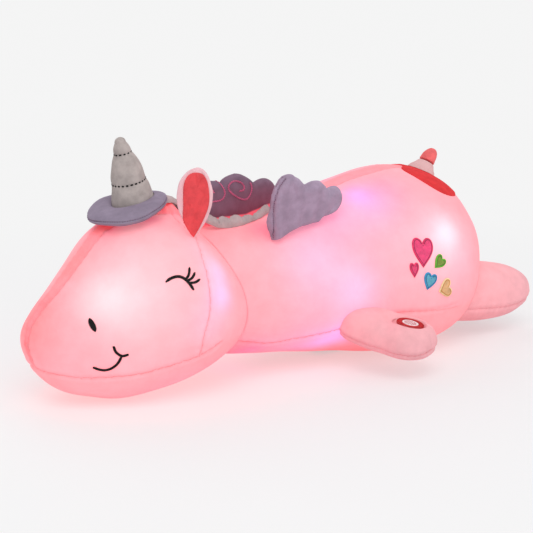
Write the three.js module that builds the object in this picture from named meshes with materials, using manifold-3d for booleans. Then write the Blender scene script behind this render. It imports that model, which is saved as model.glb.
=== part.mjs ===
// A lying plush unicorn night light, in millimetres. +Z is up, the nose points to -X, the hind feet to +X.
// The origin is under the middle of the toy, on the surface that it lies on. Its own left side is -Y.
// Stuffed forms are lofts through tables of shares; the battery case sits in a zipped pouch in the belly.
import * as THREE from "three";
import { mergeVertices } from "three/addons/utils/BufferGeometryUtils.js";
import Module from "manifold-3d";

const wasm = await Module();
wasm.setup();

// Gaps and cutting sizes that all pieces share
const seatGap = 0.3; // between pieces that rest on each other
const overrun = 2; // how far a cut runs past what it cuts
const weldGap = 1e-4; // points nearer than this are one

// Stuffed head, its muzzle drooping to the floor
const head = {
  length: 194,
  height: 151,
  halfWidth: 85,
  widestShare: 0.44, // height of the widest line in a section
  rings: 22,
  sides: 26,
  // Along the length, top, bottom, half width, then how square the section is above and below
  shares: [
    [0, 0.37, 0.37, 0, 1.9, 2.2],
    [0.021, 0.46, 0.27, 0.2, 1.9, 2.2],
    [0.072, 0.55, 0.16, 0.34, 1.8, 2.2],
    [0.15, 0.65, 0.075, 0.5, 1.7, 2.2],
    [0.25, 0.79, 0.03, 0.65, 1.65, 2.3],
    [0.36, 0.93, 0, 0.8, 1.7, 2.3],
    [0.5, 1, 0.018, 0.93, 1.85, 2.2],
    [0.63, 0.985, 0.05, 0.97, 2, 2.2],
    [0.76, 0.905, 0.11, 0.92, 2, 2.2],
    [0.88, 0.765, 0.2, 0.74, 2, 2.2],
    [0.96, 0.62, 0.35, 0.44, 2, 2.2],
    [1, 0.5, 0.5, 0, 2, 2.2],
  ],
};

// Stuffed torso with a high round rump
const torso = {
  length: 321,
  height: 165,
  halfWidth: 88,
  widestShare: 0.47,
  rings: 24,
  sides: 28,
  shares: [
    [0, 0.5, 0.5, 0, 2, 2.3],
    [0.012, 0.7, 0.27, 0.34, 2, 2.3],
    [0.078, 0.785, 0.14, 0.636, 2.05, 2.3],
    [0.2025, 0.804, 0.1, 0.739, 2.05, 2.3],
    [0.327, 0.851, 0.075, 0.818, 2.05, 2.3],
    [0.467, 0.915, 0.035, 0.88, 2.05, 2.4],
    [0.607, 0.97, 0.004, 0.935, 2.05, 2.9],
    [0.726, 1, 0, 0.98, 2.05, 3.2],
    [0.841, 0.955, 0.02, 0.9, 2.05, 2.8],
    [0.925, 0.84, 0.13, 0.69, 2.05, 2.3],
    [0.98, 0.68, 0.28, 0.4, 2, 2.2],
    [1, 0.476, 0.476, 0, 2, 2.2],
  ],
};
const neckOverlap = 57; // how far the head lies over the front of the torso
const hindReach = 57; // how far the hind feet reach past the rump
const restFlat = 0.5; // stuffed forms are pressed flat where they lie
head.frontX = -(head.length + torso.length - neckOverlap + hindReach) / 2;
torso.frontX = head.frontX + head.length - neckOverlap;

// Legs: stub axes sewn to the torso. Shares: along the leg, half width, half thickness
const frontLeg = {
  rootShare: [0.44, 0.59, 0.277], // along the torso, across its half width, up its height
  reachX: 42,
  reachY: 76,
  drop: 17,
  halfWidth: 28.5,
  halfThickness: 17,
  roundness: 2.3,
  rings: 13,
  sides: 18,
  shares: [
    [0, 0, 0],
    [0.03, 0.45, 0.5],
    [0.16, 0.82, 0.92],
    [0.36, 0.94, 1],
    [0.55, 0.97, 0.96],
    [0.75, 1, 0.93],
    [0.9, 0.8, 0.74],
    [0.975, 0.46, 0.44],
    [1, 0, 0],
  ],
};
const hindLeg = {
  rootShare: [0.788, 0.341, 0.277],
  reachY: 9,
  drop: 9,
  halfWidth: 28,
  halfThickness: 27.5,
  roundness: 2.15,
  rings: 13,
  sides: 18,
  shares: [
    [0, 0, 0],
    [0.03, 0.5, 0.5],
    [0.15, 0.9, 0.9],
    [0.4, 1, 1],
    [0.6, 1, 1],
    [0.78, 0.88, 0.88],
    [0.91, 0.64, 0.62],
    [0.975, 0.35, 0.33],
    [1, 0, 0],
  ],
};
hindLeg.reachX = (1 - hindLeg.rootShare[0]) * torso.length + hindReach;

// Horn of three stuffed sections, drawn in at two stitched rings. Shares: height, radius
const horn = {
  atShare: 0.52, // along the head
  lean: 9, // degrees towards the nose
  height: 61,
  baseRadius: 17.8,
  pinch: 1.2, // how deep the stitched rings draw in
  sides: 16,
  steps: 4, // in each section
  shares: [
    [0, 1],
    [0.34, 0.86],
    [0.74, 0.46],
    [1, 0.2],
  ],
};
const brim = { outerRadius: 34.5, forward: 4.5, thickness: 13, rise: 3.5, sides: 22, sectionSides: 10 };

// Ears: a cupped stuffed leaf with a lining in front. Shares: along the ear, half width
const ear = {
  atShare: 0.675, // along the head
  outShare: 0.535, // across the head's half width
  sink: 1.5,
  height: 58,
  halfWidth: 15.5,
  halfThickness: 5,
  cupDepth: 6,
  turn: 41, // degrees that the lining looks outwards
  leans: { left: 5, right: 17 }, // degrees outwards from upright, as it lies
  liningShare: 0.84,
  liningThickness: 1.3,
  swing: 25, // degrees each way
  rings: 11,
  sides: 14,
  shares: [
    [0, 0],
    [0.07, 0.3],
    [0.25, 0.66],
    [0.45, 0.93],
    [0.65, 1],
    [0.82, 0.84],
    [0.94, 0.48],
    [1, 0],
  ],
};

// Mane of cloud scallops. Shares of its length: along, rise of the middle, radius
const mane = {
  length: 104,
  frontGap: 4, // behind the front of the torso
  thickness: 10,
  bevel: 3.2,
  curveSteps: 8,
  sunkShare: 0.2,
  lobeShares: [
    [0.125, 0.096, 0.125],
    [0.337, 0.163, 0.1875],
    [0.615, 0.192, 0.192],
    [0.865, 0.183, 0.135],
  ],
};
const ruffle = {
  length: 94,
  offset: 16, // from the middle line
  height: 12,
  thickness: 2.6,
  scallops: 9,
  overlapShare: 0.54, // radius of a scallop, as a share of their pitch
  sunk: 10,
  curveSteps: 4,
  frontGap: 6, // behind the brim
};

// Wings: lobes and a narrow root. Shares of the length: along, up, radius
const wing = {
  atShare: 0.232, // along the torso
  outShare: 0.64, // across the torso's half width
  sink: 0.5,
  length: 75,
  thickness: 9,
  bevel: 3.2,
  curveSteps: 7,
  leftLean: 14, // degrees outwards from upright, as it lies
  rightLean: 58,
  leastLean: -4,
  mostLean: 66,
  lobeShares: [
    [0.147, 0.545, 0.24],
    [0.487, 0.45, 0.227],
    [0.72, 0.385, 0.2],
  ],
  rootShares: [
    [-0.025, 0],
    [-0.09, 0.24],
    [-0.088, 0.5],
    [0.72, 0.36],
    [0.72, 0.165],
    [0.36, 0.11],
    [0.08, 0],
  ],
};

// Tail on its patch. Shares: along the tail, half width
const patch = { atShare: 0.833, length: 70, width: 104, thickness: 1.1, sides: 32 };
const tail = {
  length: 30,
  halfWidth: 9.5,
  halfThickness: 8,
  atShare: 0.85, // along the torso
  lean: 11, // degrees further back than the skin's normal
  tipShare: 0.5,
  pivotShare: 0.27,
  swing: 20, // degrees each way
  rings: 10,
  sides: 14,
  shares: [
    [0, 0],
    [0.05, 0.62],
    [0.2, 1],
    [0.45, 0.92],
    [0.7, 0.7],
    [0.9, 0.44],
    [1, 0],
  ],
};

// Hearts on the left flank. Shares of the torso's length and height, then height and tilt in degrees
const heart = {
  thickness: 1.1,
  widthShare: 0.84,
  curveSteps: 4,
  // From the tip round: two handles and an end, of half the width and half the height
  curveShares: [
    [0.5, -0.5, 1, -0.1, 1, 0.4],
    [1, 1.1, 0.2, 1.1, 0, 0.55],
    [-0.2, 1.1, -1, 1.1, -1, 0.4],
    [-1, -0.1, -0.5, -0.5, 0, -1],
  ],
};
const hearts = [
  { name: "heart_large_pink", atShare: 0.6525, upShare: 0.607, height: 27, tilt: 4 },
  { name: "heart_small_pink", atShare: 0.6185, upShare: 0.522, height: 13, tilt: 0 },
  { name: "heart_green", atShare: 0.701, upShare: 0.545, height: 13.5, tilt: 28 },
  { name: "heart_blue", atShare: 0.667, upShare: 0.45, height: 15.5, tilt: 14 },
  { name: "heart_yellow", atShare: 0.721, upShare: 0.397, height: 16, tilt: -32 },
];

// Batteries, their case and its sliding door
const cell = { length: 43.5, radius: 5.25, nubLength: 1, nubRadius: 1.9, count: 3, sides: 16 };
const spring = { length: 4.4, coilRadius: 3.2, wireRadius: 0.4, turns: 3, stepsPerTurn: 8, sides: 5 };
const batteryCase = { wall: 1.6, cellGap: 0.6, boardBay: 8, railDepth: 1.7, lipHeight: 0.9 };
const door = { thickness: 1.4, ribs: 3, ribWidth: 1, ribPitch: 3, ribHeight: 0.5, ribLength: 14 };
const contact = { thickness: 0.5 };
const board = { thickness: 1.2, length: 26, height: 8, chipSize: 5, chipHeight: 1.4, standOff: 2 };

// Pouch in the belly, closed by a zip in a recess
const pouch = { startShare: 0.47, length: 120, mouthHalfWidth: 7.2, floorThickness: 1.3 };
const zip = {
  restHeight: 8.4, // of the tapes above the floor
  tapeWidth: 8,
  tapeThickness: 0.8,
  tapeGap: 1,
  recessMargin: 1,
  endMargin: 0.4,
  beadWidth: 1.5,
  beadHeight: 1.3,
  toothPitch: 4,
};
const slider = { length: 9, wall: 1, crownHeight: 1.6, crownLength: 5, crownWidth: 2 };

// Push switch in the left front paw
const pawSwitch = {
  atShare: 0.75, // along the leg
  depth: 7, // of the housing's floor below the leg's axis
  housingHeight: 12.7,
  housingRadius: 11.8,
  wall: 1.6,
  boreClearance: 0.6, // round the pad
  plungerRadius: 7.8,
  collar: 1.8,
  collarHeight: 1.4,
  padRadius: 13.2,
  padThickness: 1.9,
  padStandsProud: -0.8, // over the leg at its thickest
  sides: 24,
};
const pawSpring = { coilRadius: 5, wireRadius: 0.45, turns: 3, stepsPerTurn: 8, sides: 5 };
const leadWire = { radius: 1.3, sides: 5, stepsPerSpan: 2 };
const lamp = { radius: 6, sides: 8, rings: 4 };

// Finishes
const finish = (name, color, roughness = 0.9, metalness = 0) =>
  new THREE.MeshStandardMaterial({ name, color, roughness, metalness });
const pinkPlush = finish("pink_plush", 0xf6a9b6);
const palePlush = finish("pale_plush", 0xf3bcc4);
const coralPlush = finish("coral_plush", 0xe8525a);
const lavenderPlush = finish("lavender_plush", 0x9a90b4);
const greyPlush = finish("grey_plush", 0xa99d99);
const thread = {
  heart_large_pink: finish("magenta_thread", 0xdd3a78, 0.6),
  heart_small_pink: finish("magenta_thread", 0xdd3a78, 0.6),
  heart_green: finish("green_thread", 0x67a22e, 0.6),
  heart_blue: finish("blue_thread", 0x2f8fb8, 0.6),
  heart_yellow: finish("yellow_thread", 0xdca65c, 0.6),
};
const whiteCloth = finish("white_cloth", 0xf1e9ea, 0.85);
const whitePlastic = finish("white_plastic", 0xf2efe9, 0.45);
const darkPlastic = finish("dark_plastic", 0x2c2c30, 0.5);
const greenBoard = finish("green_board", 0x2f6b45, 0.5);
const steel = finish("steel", 0xb9bcc0, 0.35, 0.9);

// A closed mesh as a solid for joining and cutting
function toSolid(geometry) {
  const bare = geometry.index ? geometry.toNonIndexed() : geometry.clone();
  bare.deleteAttribute("normal");
  bare.deleteAttribute("uv");
  const merged = mergeVertices(bare, weldGap);
  return meshSolid(merged.attributes.position.array, merged.index.array);
}
function meshSolid(positions, indices) {
  const vertProperties = new Float32Array(positions);
  return new wasm.Manifold(new wasm.Mesh({ numProp: 3, vertProperties, triVerts: new Uint32Array(indices) }));
}
function toGeometry(solid) {
  const mesh = solid.getMesh();
  const geometry = new THREE.BufferGeometry();
  geometry.setAttribute("position", new THREE.BufferAttribute(mesh.vertProperties, 3));
  geometry.setIndex(new THREE.BufferAttribute(mesh.triVerts, 1));
  const faceted = geometry.toNonIndexed();
  faceted.computeVertexNormals();
  return faceted;
}
const joined = (solids) => solids.reduce((sum, solid) => sum.add(solid));
const placed = (solid, matrix) => solid.transform(matrix.elements);

const toy = new THREE.Group();
function addPiece(name, solid, material) {
  const mesh = new THREE.Mesh(toGeometry(solid), material);
  mesh.name = name;
  toy.add(mesh);
}
const bothSides = [
  ["left", -1],
  ["right", 1],
];
const wingLeans = { left: wing.leftLean, right: wing.rightLean };

// One row of a share table at t from 0 to 1, on a smooth curve through the rows
function rowAt(table, t) {
  const last = table.length - 1;
  const place = Math.min(Math.max(t, 0), 1) * last;
  const i = Math.min(Math.floor(place), last - 1);
  const u = place - i;
  const row = (k, c) => {
    if (k < 0) return 2 * table[0][c] - table[1][c];
    if (k > last) return 2 * table[last][c] - table[last - 1][c];
    return table[k][c];
  };
  return table[0].map((_, c) => {
    const [a, b, d, e] = [row(i - 1, c), row(i, c), row(i + 1, c), row(i + 2, c)];
    return b + 0.5 * u * (d - a + u * (2 * a - 5 * b + 4 * d - e + u * (3 * (b - d) + e - a)));
  });
}

// A closed surface through rings of points, each end drawn together to one point
function loft(rings, sides, pointAt) {
  const positions = [];
  const indices = [];
  for (let i = 1; i < rings; i++) {
    for (let j = 0; j < sides; j++) positions.push(...pointAt(i / rings, (2 * Math.PI * j) / sides));
  }
  const startPole = positions.length / 3;
  const endPole = startPole + 1;
  positions.push(...pointAt(0, 0), ...pointAt(1, 0));
  const at = (i, j) => (i - 1) * sides + (j % sides);
  for (let j = 0; j < sides; j++) {
    indices.push(startPole, at(1, j + 1), at(1, j));
    for (let i = 1; i < rings - 1; i++) {
      indices.push(at(i, j), at(i, j + 1), at(i + 1, j));
      indices.push(at(i, j + 1), at(i + 1, j + 1), at(i + 1, j));
    }
    indices.push(endPole, at(rings - 1, j), at(rings - 1, j + 1));
  }
  return meshSolid(positions, indices);
}
const roundPower = (value, roundness) => Math.sign(value) * Math.abs(value) ** (2 / roundness);

// Head and torso: sections across X, made larger all round by grow
function stuffedForm(form, grow = 0) {
  const stretch = 1 + (2 * grow) / form.length;
  const depth = form.height + restFlat;
  return loft(form.rings, form.sides, (t, angle) => {
    const [along, top, bottom, half, above, below] = rowAt(form.shares, t);
    const isPole = t <= 0 || t >= 1;
    const swell = isPole ? 0 : grow;
    const x = form.frontX + (0.5 + (along - 0.5) * stretch) * form.length;
    const midShare = bottom + (top - bottom) * form.widestShare;
    const up = Math.sin(angle);
    const reach = (up > 0 ? top - midShare : midShare - bottom) * depth + swell;
    const roundness = up > 0 ? above : below;
    const y = (half * form.halfWidth + swell) * roundPower(Math.cos(angle), roundness);
    return [x, y, midShare * depth - restFlat + reach * roundPower(up, roundness)];
  });
}

// The row of a form's share table at a length share
function rowAlong(form, share) {
  let [low, high] = [0, 1];
  for (let i = 0; i < 30; i++) {
    const middle = (low + high) / 2;
    if (rowAt(form.shares, middle)[0] < share) low = middle;
    else high = middle;
  }
  return rowAt(form.shares, low);
}
// Height of a form's upper skin over a point
function crownZ(form, x, y) {
  const [, top, bottom, half, above] = rowAlong(form, (x - form.frontX) / form.length);
  const midShare = bottom + (top - bottom) * form.widestShare;
  const out = Math.min(Math.abs(y) / (half * form.halfWidth), 1);
  const rise = (1 - out ** above) ** (1 / above);
  return (midShare + (top - midShare) * rise) * (form.height + restFlat) - restFlat;
}
const alongForm = (form, share) => form.frontX + share * form.length;
const halfWidthAt = (form, share) => rowAlong(form, share)[3] * form.halfWidth;

// A thin patch that follows a stuffed form, cut out by a prism
function patchOn(form, thickness, prism) {
  return stuffedForm(form, seatGap + thickness).subtract(stuffedForm(form, seatGap)).intersect(prism);
}

function box(low, high) {
  const size = low.map((v, i) => high[i] - v);
  const geometry = new THREE.BoxGeometry(...size);
  geometry.translate(...low.map((v, i) => v + size[i] / 2));
  return toSolid(geometry);
}
// A cylinder along X
function barX(low, high, y, z, radius, sides) {
  const geometry = new THREE.CylinderGeometry(radius, radius, high - low, sides);
  geometry.rotateZ(-Math.PI / 2);
  geometry.translate((low + high) / 2, y, z);
  return toSolid(geometry);
}
// A flat shape drawn in X and Z, extruded across Y with rounded edges
function slabY(shape, thickness, bevel, curveSegments) {
  const geometry = new THREE.ExtrudeGeometry(shape, {
    depth: thickness - 2 * bevel,
    bevelEnabled: bevel > 0,
    bevelThickness: bevel,
    bevelSize: bevel,
    bevelOffset: -bevel,
    bevelSegments: 1,
    curveSegments,
  });
  geometry.translate(0, 0, bevel - thickness / 2);
  geometry.rotateX(Math.PI / 2);
  return toSolid(geometry);
}
// A closed tube along a curve
function tube(curve, radius, sides, steps) {
  const section = new THREE.Shape();
  section.moveTo(radius, 0);
  for (let i = 1; i < sides; i++) {
    const angle = (2 * Math.PI * i) / sides;
    section.lineTo(radius * Math.cos(angle), radius * Math.sin(angle));
  }
  section.closePath();
  return toSolid(new THREE.ExtrudeGeometry(section, { steps, extrudePath: curve }));
}
// A closed ring or disc from a profile of radius and height, standing on Z
function turned(points, sides) {
  const geometry = new THREE.LatheGeometry(points.map(([r, z]) => new THREE.Vector2(r, z)), sides);
  geometry.rotateX(Math.PI / 2);
  return toSolid(geometry);
}
// A coil spring that stands on Z from low to high
class Coil extends THREE.Curve {
  constructor(low, high, radius, turns) {
    super();
    Object.assign(this, { low, high, radius, turns });
  }
  getPoint(t, target = new THREE.Vector3()) {
    const angle = 2 * Math.PI * this.turns * t;
    const z = THREE.MathUtils.lerp(this.low, this.high, t);
    return target.set(this.radius * Math.cos(angle), this.radius * Math.sin(angle), z);
  }
}
function coil(wire, low, high) {
  const curve = new Coil(low + wire.wireRadius, high - wire.wireRadius, wire.coilRadius, wire.turns);
  return tube(curve, wire.wireRadius, wire.sides, wire.turns * wire.stepsPerTurn);
}
const degrees = THREE.MathUtils.degToRad;
const turnAbout = (pivot, axis, angle) =>
  new THREE.Matrix4()
    .makeTranslation(pivot)
    .multiply(new THREE.Matrix4().makeRotationAxis(axis, degrees(angle)))
    .multiply(new THREE.Matrix4().makeTranslation(pivot.clone().negate()));
// Cuts a hinged piece clear of its seat, at rest and at each limit of the swing
function clearOf(solid, seat, pivot, axis, limits) {
  const cutters = [0, ...limits].map((angle) => placed(seat, turnAbout(pivot, axis, -angle)));
  return solid.subtract(joined(cutters));
}

// Everything above the surface that the toy lies on
const roomX = -2 * head.frontX;
const aboveFloor = box([-roomX, -roomX, 0], [roomX, roomX, roomX]);

// Pouch, zip and battery case sizes that follow from the pieces inside
const pouchStartX = alongForm(torso, pouch.startShare);
const pouchEndX = pouchStartX + pouch.length;
const tapeTopZ = zip.restHeight + zip.tapeThickness;
const pouchFloorZ = tapeTopZ + seatGap + pouch.floorThickness;
const caseFrontX = pouchStartX + seatGap;
const caseBottomZ = pouchFloorZ + seatGap;
const doorZ = caseBottomZ + batteryCase.lipHeight + seatGap;
const doorTopZ = doorZ + door.thickness;
const cellZ = doorTopZ + seatGap + cell.radius;
const ceilingZ = cellZ + cell.radius + seatGap;
const caseTopZ = ceilingZ + batteryCase.wall;
const cellPitch = 2 * cell.radius + batteryCase.cellGap;
const bayHalfWidth = ((cell.count - 1) * cellPitch) / 2 + cell.radius + seatGap;
const grooveHalfWidth = bayHalfWidth + batteryCase.railDepth;
const caseHalfWidth = grooveHalfWidth + batteryCase.wall;
const boardBayX = caseFrontX + batteryCase.wall;
const cellBayX = boardBayX + batteryCase.boardBay + batteryCase.wall;
const plateRoom = contact.thickness + 2 * seatGap;
const cellRoom = spring.length + seatGap + cell.length + cell.nubLength;
const cellBayEndX = cellBayX + 2 * plateRoom + cellRoom;
const caseEndX = cellBayEndX + batteryCase.wall;
const boardX = boardBayX + board.standOff;

// Switch frame on the left front leg: X across, Y back along the leg, Z out through the pad
const legStart = (leg, sign) =>
  new THREE.Vector3(
    alongForm(torso, leg.rootShare[0]),
    sign * leg.rootShare[1] * torso.halfWidth,
    leg.rootShare[2] * torso.height,
  );
function legAxes(leg, sign) {
  const root = legStart(leg, sign);
  const reach = new THREE.Vector3(leg.reachX, sign * leg.reachY, -leg.drop);
  const along = reach.clone().normalize();
  const across = new THREE.Vector3(0, 0, 1).cross(along).normalize();
  return { root, along, across, through: along.clone().cross(across), length: reach.length() };
}
const leftLeg = legAxes(frontLeg, -1);
const switchMatrix = new THREE.Matrix4()
  .makeBasis(leftLeg.across, leftLeg.along.clone().negate(), leftLeg.through)
  .setPosition(leftLeg.root.clone().addScaledVector(leftLeg.along, pawSwitch.atShare * leftLeg.length));
const housingLowZ = seatGap - pawSwitch.depth;
const padTopZ = frontLeg.halfThickness + pawSwitch.padStandsProud;
const switchSide = new THREE.Vector3(0, pawSwitch.housingRadius + seatGap, 0).applyMatrix4(switchMatrix);

// Lamp strings and the switch's lead, from the board through the stuffing. X counts from the case's front
const leadPoint = ([x, y, z]) => new THREE.Vector3(caseFrontX + x, y, z);
const leadExit = (y, z) => [
  [boardX - seatGap - caseFrontX, y, z],
  [-overrun, y, z],
];
const switchEnd = [switchSide.x - caseFrontX, switchSide.y, switchSide.z];
const leadRuns = [
  {
    name: "lamp_string_head",
    points: [
      ...leadExit(0, 19),
      [-21, 0, 24],
      [-37, -40, 38],
      [-71, -30, 76],
      [-117, -10, 92],
      [-143, -46, 92],
      [-197, -44, 100],
      [-245, -26, 88],
      [-263, 0, 76],
      [-245, 28, 88],
      [-197, 46, 100],
      [-143, 44, 92],
    ],
    lampAt: [3, 6, 8, 10, 12],
  },
  {
    name: "lamp_string_rump",
    points: [
      ...leadExit(9, 19),
      [-23, 16, 26],
      [-37, 36, 60],
      [-53, 10, 96],
      [-46, -42, 98],
      [-1, -50, 76],
      [13, -40, 110],
      [23, -14, 132],
      [61, -40, 124],
      [100, -50, 104],
      [127, 0, 96],
      [100, 48, 104],
    ],
    lampAt: [5, 6, 8, 10, 12],
  },
  {
    name: "switch_lead",
    points: [...leadExit(-9, 19), [-19, -18, 24], [-13, -44, 34], [1, -78, 38], switchEnd],
    lampAt: [],
  },
];
function leadSolid(run, grow = 0) {
  const curve = new THREE.CatmullRomCurve3(run.points.map(leadPoint), false, "centripetal");
  const steps = (run.points.length - 1) * leadWire.stepsPerSpan;
  const lamps = run.lampAt.map((i) => {
    const bulb = new THREE.SphereGeometry(lamp.radius + grow, lamp.sides, lamp.rings);
    bulb.translate(...leadPoint(run.points[i]).toArray());
    return toSolid(bulb);
  });
  return joined([tube(curve, leadWire.radius + grow, leadWire.sides, steps), ...lamps]);
}
for (const run of leadRuns) addPiece(run.name, leadSolid(run), whitePlastic);
const leadRoom = joined(leadRuns.map((run) => leadSolid(run, seatGap)));

// Head, and the torso that carries it and holds the pouch
const headSeat = stuffedForm(head, seatGap);
const torsoSeat = stuffedForm(torso, seatGap);
addPiece("head", stuffedForm(head).intersect(aboveFloor).subtract(leadRoom), pinkPlush);
const recessHalfWidth = zip.tapeWidth + zip.tapeGap / 2 + zip.recessMargin;
const pouchRoom = joined([
  box(
    [pouchStartX, -caseHalfWidth - seatGap, pouchFloorZ],
    [pouchEndX, caseHalfWidth + seatGap, caseTopZ + seatGap],
  ),
  box(
    [pouchStartX, -pouch.mouthHalfWidth, -overrun],
    [pouchEndX, pouch.mouthHalfWidth, pouchFloorZ + overrun],
  ),
  box(
    [pouchStartX - zip.endMargin - seatGap, -recessHalfWidth, -overrun],
    [pouchEndX + zip.endMargin + seatGap, recessHalfWidth, tapeTopZ + seatGap],
  ),
]);
addPiece(
  "torso",
  stuffedForm(torso).intersect(aboveFloor).subtract(joined([headSeat, pouchRoom, leadRoom])),
  pinkPlush,
);

// Legs, the left front one bored for the switch
function legSolid(leg, sign) {
  const { root, along, across, through, length } = legAxes(leg, sign);
  return loft(leg.rings, leg.sides, (t, angle) => {
    const [share, wide, thick] = rowAt(leg.shares, t);
    return root
      .clone()
      .addScaledVector(along, share * length)
      .addScaledVector(across, wide * leg.halfWidth * roundPower(Math.cos(angle), leg.roundness))
      .addScaledVector(through, thick * leg.halfThickness * roundPower(Math.sin(angle), leg.roundness))
      .toArray();
  });
}
const boreRadius = pawSwitch.padRadius + pawSwitch.boreClearance;
const switchBore = turned(
  [
    [0, -pawSwitch.depth],
    [boreRadius, -pawSwitch.depth],
    [boreRadius, 2 * frontLeg.halfThickness],
    [0, 2 * frontLeg.halfThickness],
  ],
  pawSwitch.sides,
);
const legCut = joined([torsoSeat, placed(switchBore, switchMatrix), leadRoom]);
for (const [side, sign] of bothSides) {
  addPiece(`front_leg_${side}`, legSolid(frontLeg, sign).intersect(aboveFloor).subtract(legCut), pinkPlush);
  addPiece(`hind_leg_${side}`, legSolid(hindLeg, sign).intersect(aboveFloor).subtract(torsoSeat), pinkPlush);
}

// Horn and brim on one leaning axis
const hornX = alongForm(head, horn.atShare);
const hornMatrix = new THREE.Matrix4()
  .makeTranslation(hornX, 0, crownZ(head, hornX, 0))
  .multiply(new THREE.Matrix4().makeRotationY(degrees(-horn.lean)));
function hornSolid(grow = 0) {
  const profile = [[0, -brim.thickness / 2]];
  profile.push([horn.baseRadius + grow, -brim.thickness / 2]);
  for (let k = 0; k + 1 < horn.shares.length; k++) {
    for (let i = k ? 1 : 0; i <= horn.steps; i++) {
      const u = i / horn.steps;
      const height = THREE.MathUtils.lerp(horn.shares[k][0], horn.shares[k + 1][0], u) * horn.height;
      const radius = THREE.MathUtils.lerp(horn.shares[k][1], horn.shares[k + 1][1], u) * horn.baseRadius;
      const swell = horn.pinch * (2 * Math.sin(Math.PI * u) - 1);
      profile.push([radius + swell + grow, height]);
    }
  }
  profile.push([0, horn.height + horn.pinch + grow]);
  return placed(turned(profile, horn.sides), hornMatrix);
}
addPiece("horn", hornSolid().subtract(headSeat), greyPlush);
const brimInner = horn.baseRadius - brim.forward - brim.thickness / 4;
const brimHalf = (brim.outerRadius - brimInner) / 2;
const brimProfile = [];
for (let i = 0; i <= brim.sectionSides; i++) {
  const angle = (2 * Math.PI * (i % brim.sectionSides)) / brim.sectionSides;
  const radius = brimInner + brimHalf * (1 + Math.cos(angle));
  brimProfile.push([radius, brim.rise + (brim.thickness / 2) * Math.sin(angle)]);
}
const brimMatrix = hornMatrix.clone().multiply(new THREE.Matrix4().makeTranslation(-brim.forward, 0, 0));
const brimRing = placed(turned(brimProfile, brim.sides), brimMatrix);
addPiece("horn_brim", brimRing.subtract(joined([headSeat, hornSolid(seatGap)])), lavenderPlush);

// Ears, cleared for their flop about the foot
function earFrame(sign) {
  const lean = degrees(sign < 0 ? ear.leans.left : ear.leans.right);
  const facing = new THREE.Vector3(-Math.cos(degrees(ear.turn)), sign * Math.sin(degrees(ear.turn)), 0);
  const up = new THREE.Vector3(0, sign * Math.sin(lean), Math.cos(lean));
  const across = facing.cross(up).normalize();
  return { up, across, front: up.clone().cross(across) };
}
function earShell(foot, sign, grow = 0) {
  const { up, across, front } = earFrame(sign);
  return loft(ear.rings, ear.sides, (t, angle) => {
    const [along, half] = rowAt(ear.shares, t);
    const swell = t <= 0 || t >= 1 ? 0 : grow;
    const side = (half * ear.halfWidth + swell) * Math.cos(angle);
    const cup = ear.cupDepth * half * Math.cos(angle) ** 2;
    const depth = (Math.sqrt(half) * ear.halfThickness + swell) * Math.sin(angle);
    return foot
      .clone()
      .addScaledVector(up, along * (ear.height + 2 * grow) - grow)
      .addScaledVector(across, side)
      .addScaledVector(front, depth + cup)
      .toArray();
  });
}
// The lining lies on the front of the cup, a little inside its edge, and thins out to its own edge
function earLining(foot, sign) {
  const { up, across, front } = earFrame(sign);
  const sheet = loft(ear.rings, ear.sides, (t, angle) => {
    const [share, liningHalf] = rowAt(ear.shares, t);
    const along = (1 - ear.liningShare) / 2 + share * ear.liningShare;
    const half = rowAlong(ear, along)[1];
    const out = (Math.cos(angle) * liningHalf * ear.liningShare) / half;
    const skin = Math.sqrt(half * (1 - out ** 2)) * ear.halfThickness + ear.cupDepth * half * out ** 2;
    const raised = Math.max(Math.sin(angle), 0) * (seatGap + ear.liningThickness);
    return foot
      .clone()
      .addScaledVector(up, along * ear.height)
      .addScaledVector(across, out * half * ear.halfWidth)
      .addScaledVector(front, skin + raised)
      .toArray();
  });
  return sheet.subtract(earShell(foot, sign, seatGap));
}
function earPivot(sign) {
  const x = alongForm(head, ear.atShare);
  const y = sign * ear.outShare * halfWidthAt(head, ear.atShare);
  return new THREE.Vector3(x, y, crownZ(head, x, y));
}
for (const [side, sign] of bothSides) {
  const pivot = earPivot(sign);
  const foot = pivot.clone().setZ(pivot.z - ear.sink);
  const axis = earFrame(sign).across;
  const limits = [-ear.swing, ear.swing];
  addPiece(`ear_${side}`, clearOf(earShell(foot, sign), headSeat, pivot, axis, limits), pinkPlush);
  addPiece(`ear_lining_${side}`, clearOf(earLining(foot, sign), headSeat, pivot, axis, limits), coralPlush);
}

// Mane: round lobes on stems that run down into the seam
function lobe(x, z, radius, footZ, thickness, bevel, curveSegments) {
  const shape = new THREE.Shape();
  shape.moveTo(x + radius, footZ);
  shape.lineTo(x + radius, z);
  shape.absarc(x, z, radius, 0, Math.PI);
  shape.lineTo(x - radius, footZ);
  shape.closePath();
  return slabY(shape, thickness, bevel, curveSegments);
}
const maneStartX = torso.frontX + mane.frontGap;
const maneSeatZ = crownZ(torso, maneStartX + mane.length / 4, 0);
const maneLobes = mane.lobeShares.map(([along, rise, radius]) =>
  lobe(
    maneStartX + along * mane.length,
    maneSeatZ + rise * mane.length,
    radius * mane.length,
    maneSeatZ - mane.sunkShare * mane.length,
    mane.thickness,
    mane.bevel,
    mane.curveSteps,
  ),
);
const bodySeat = joined([headSeat, torsoSeat]);
addPiece("mane", joined(maneLobes).subtract(bodySeat), lavenderPlush);

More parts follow.
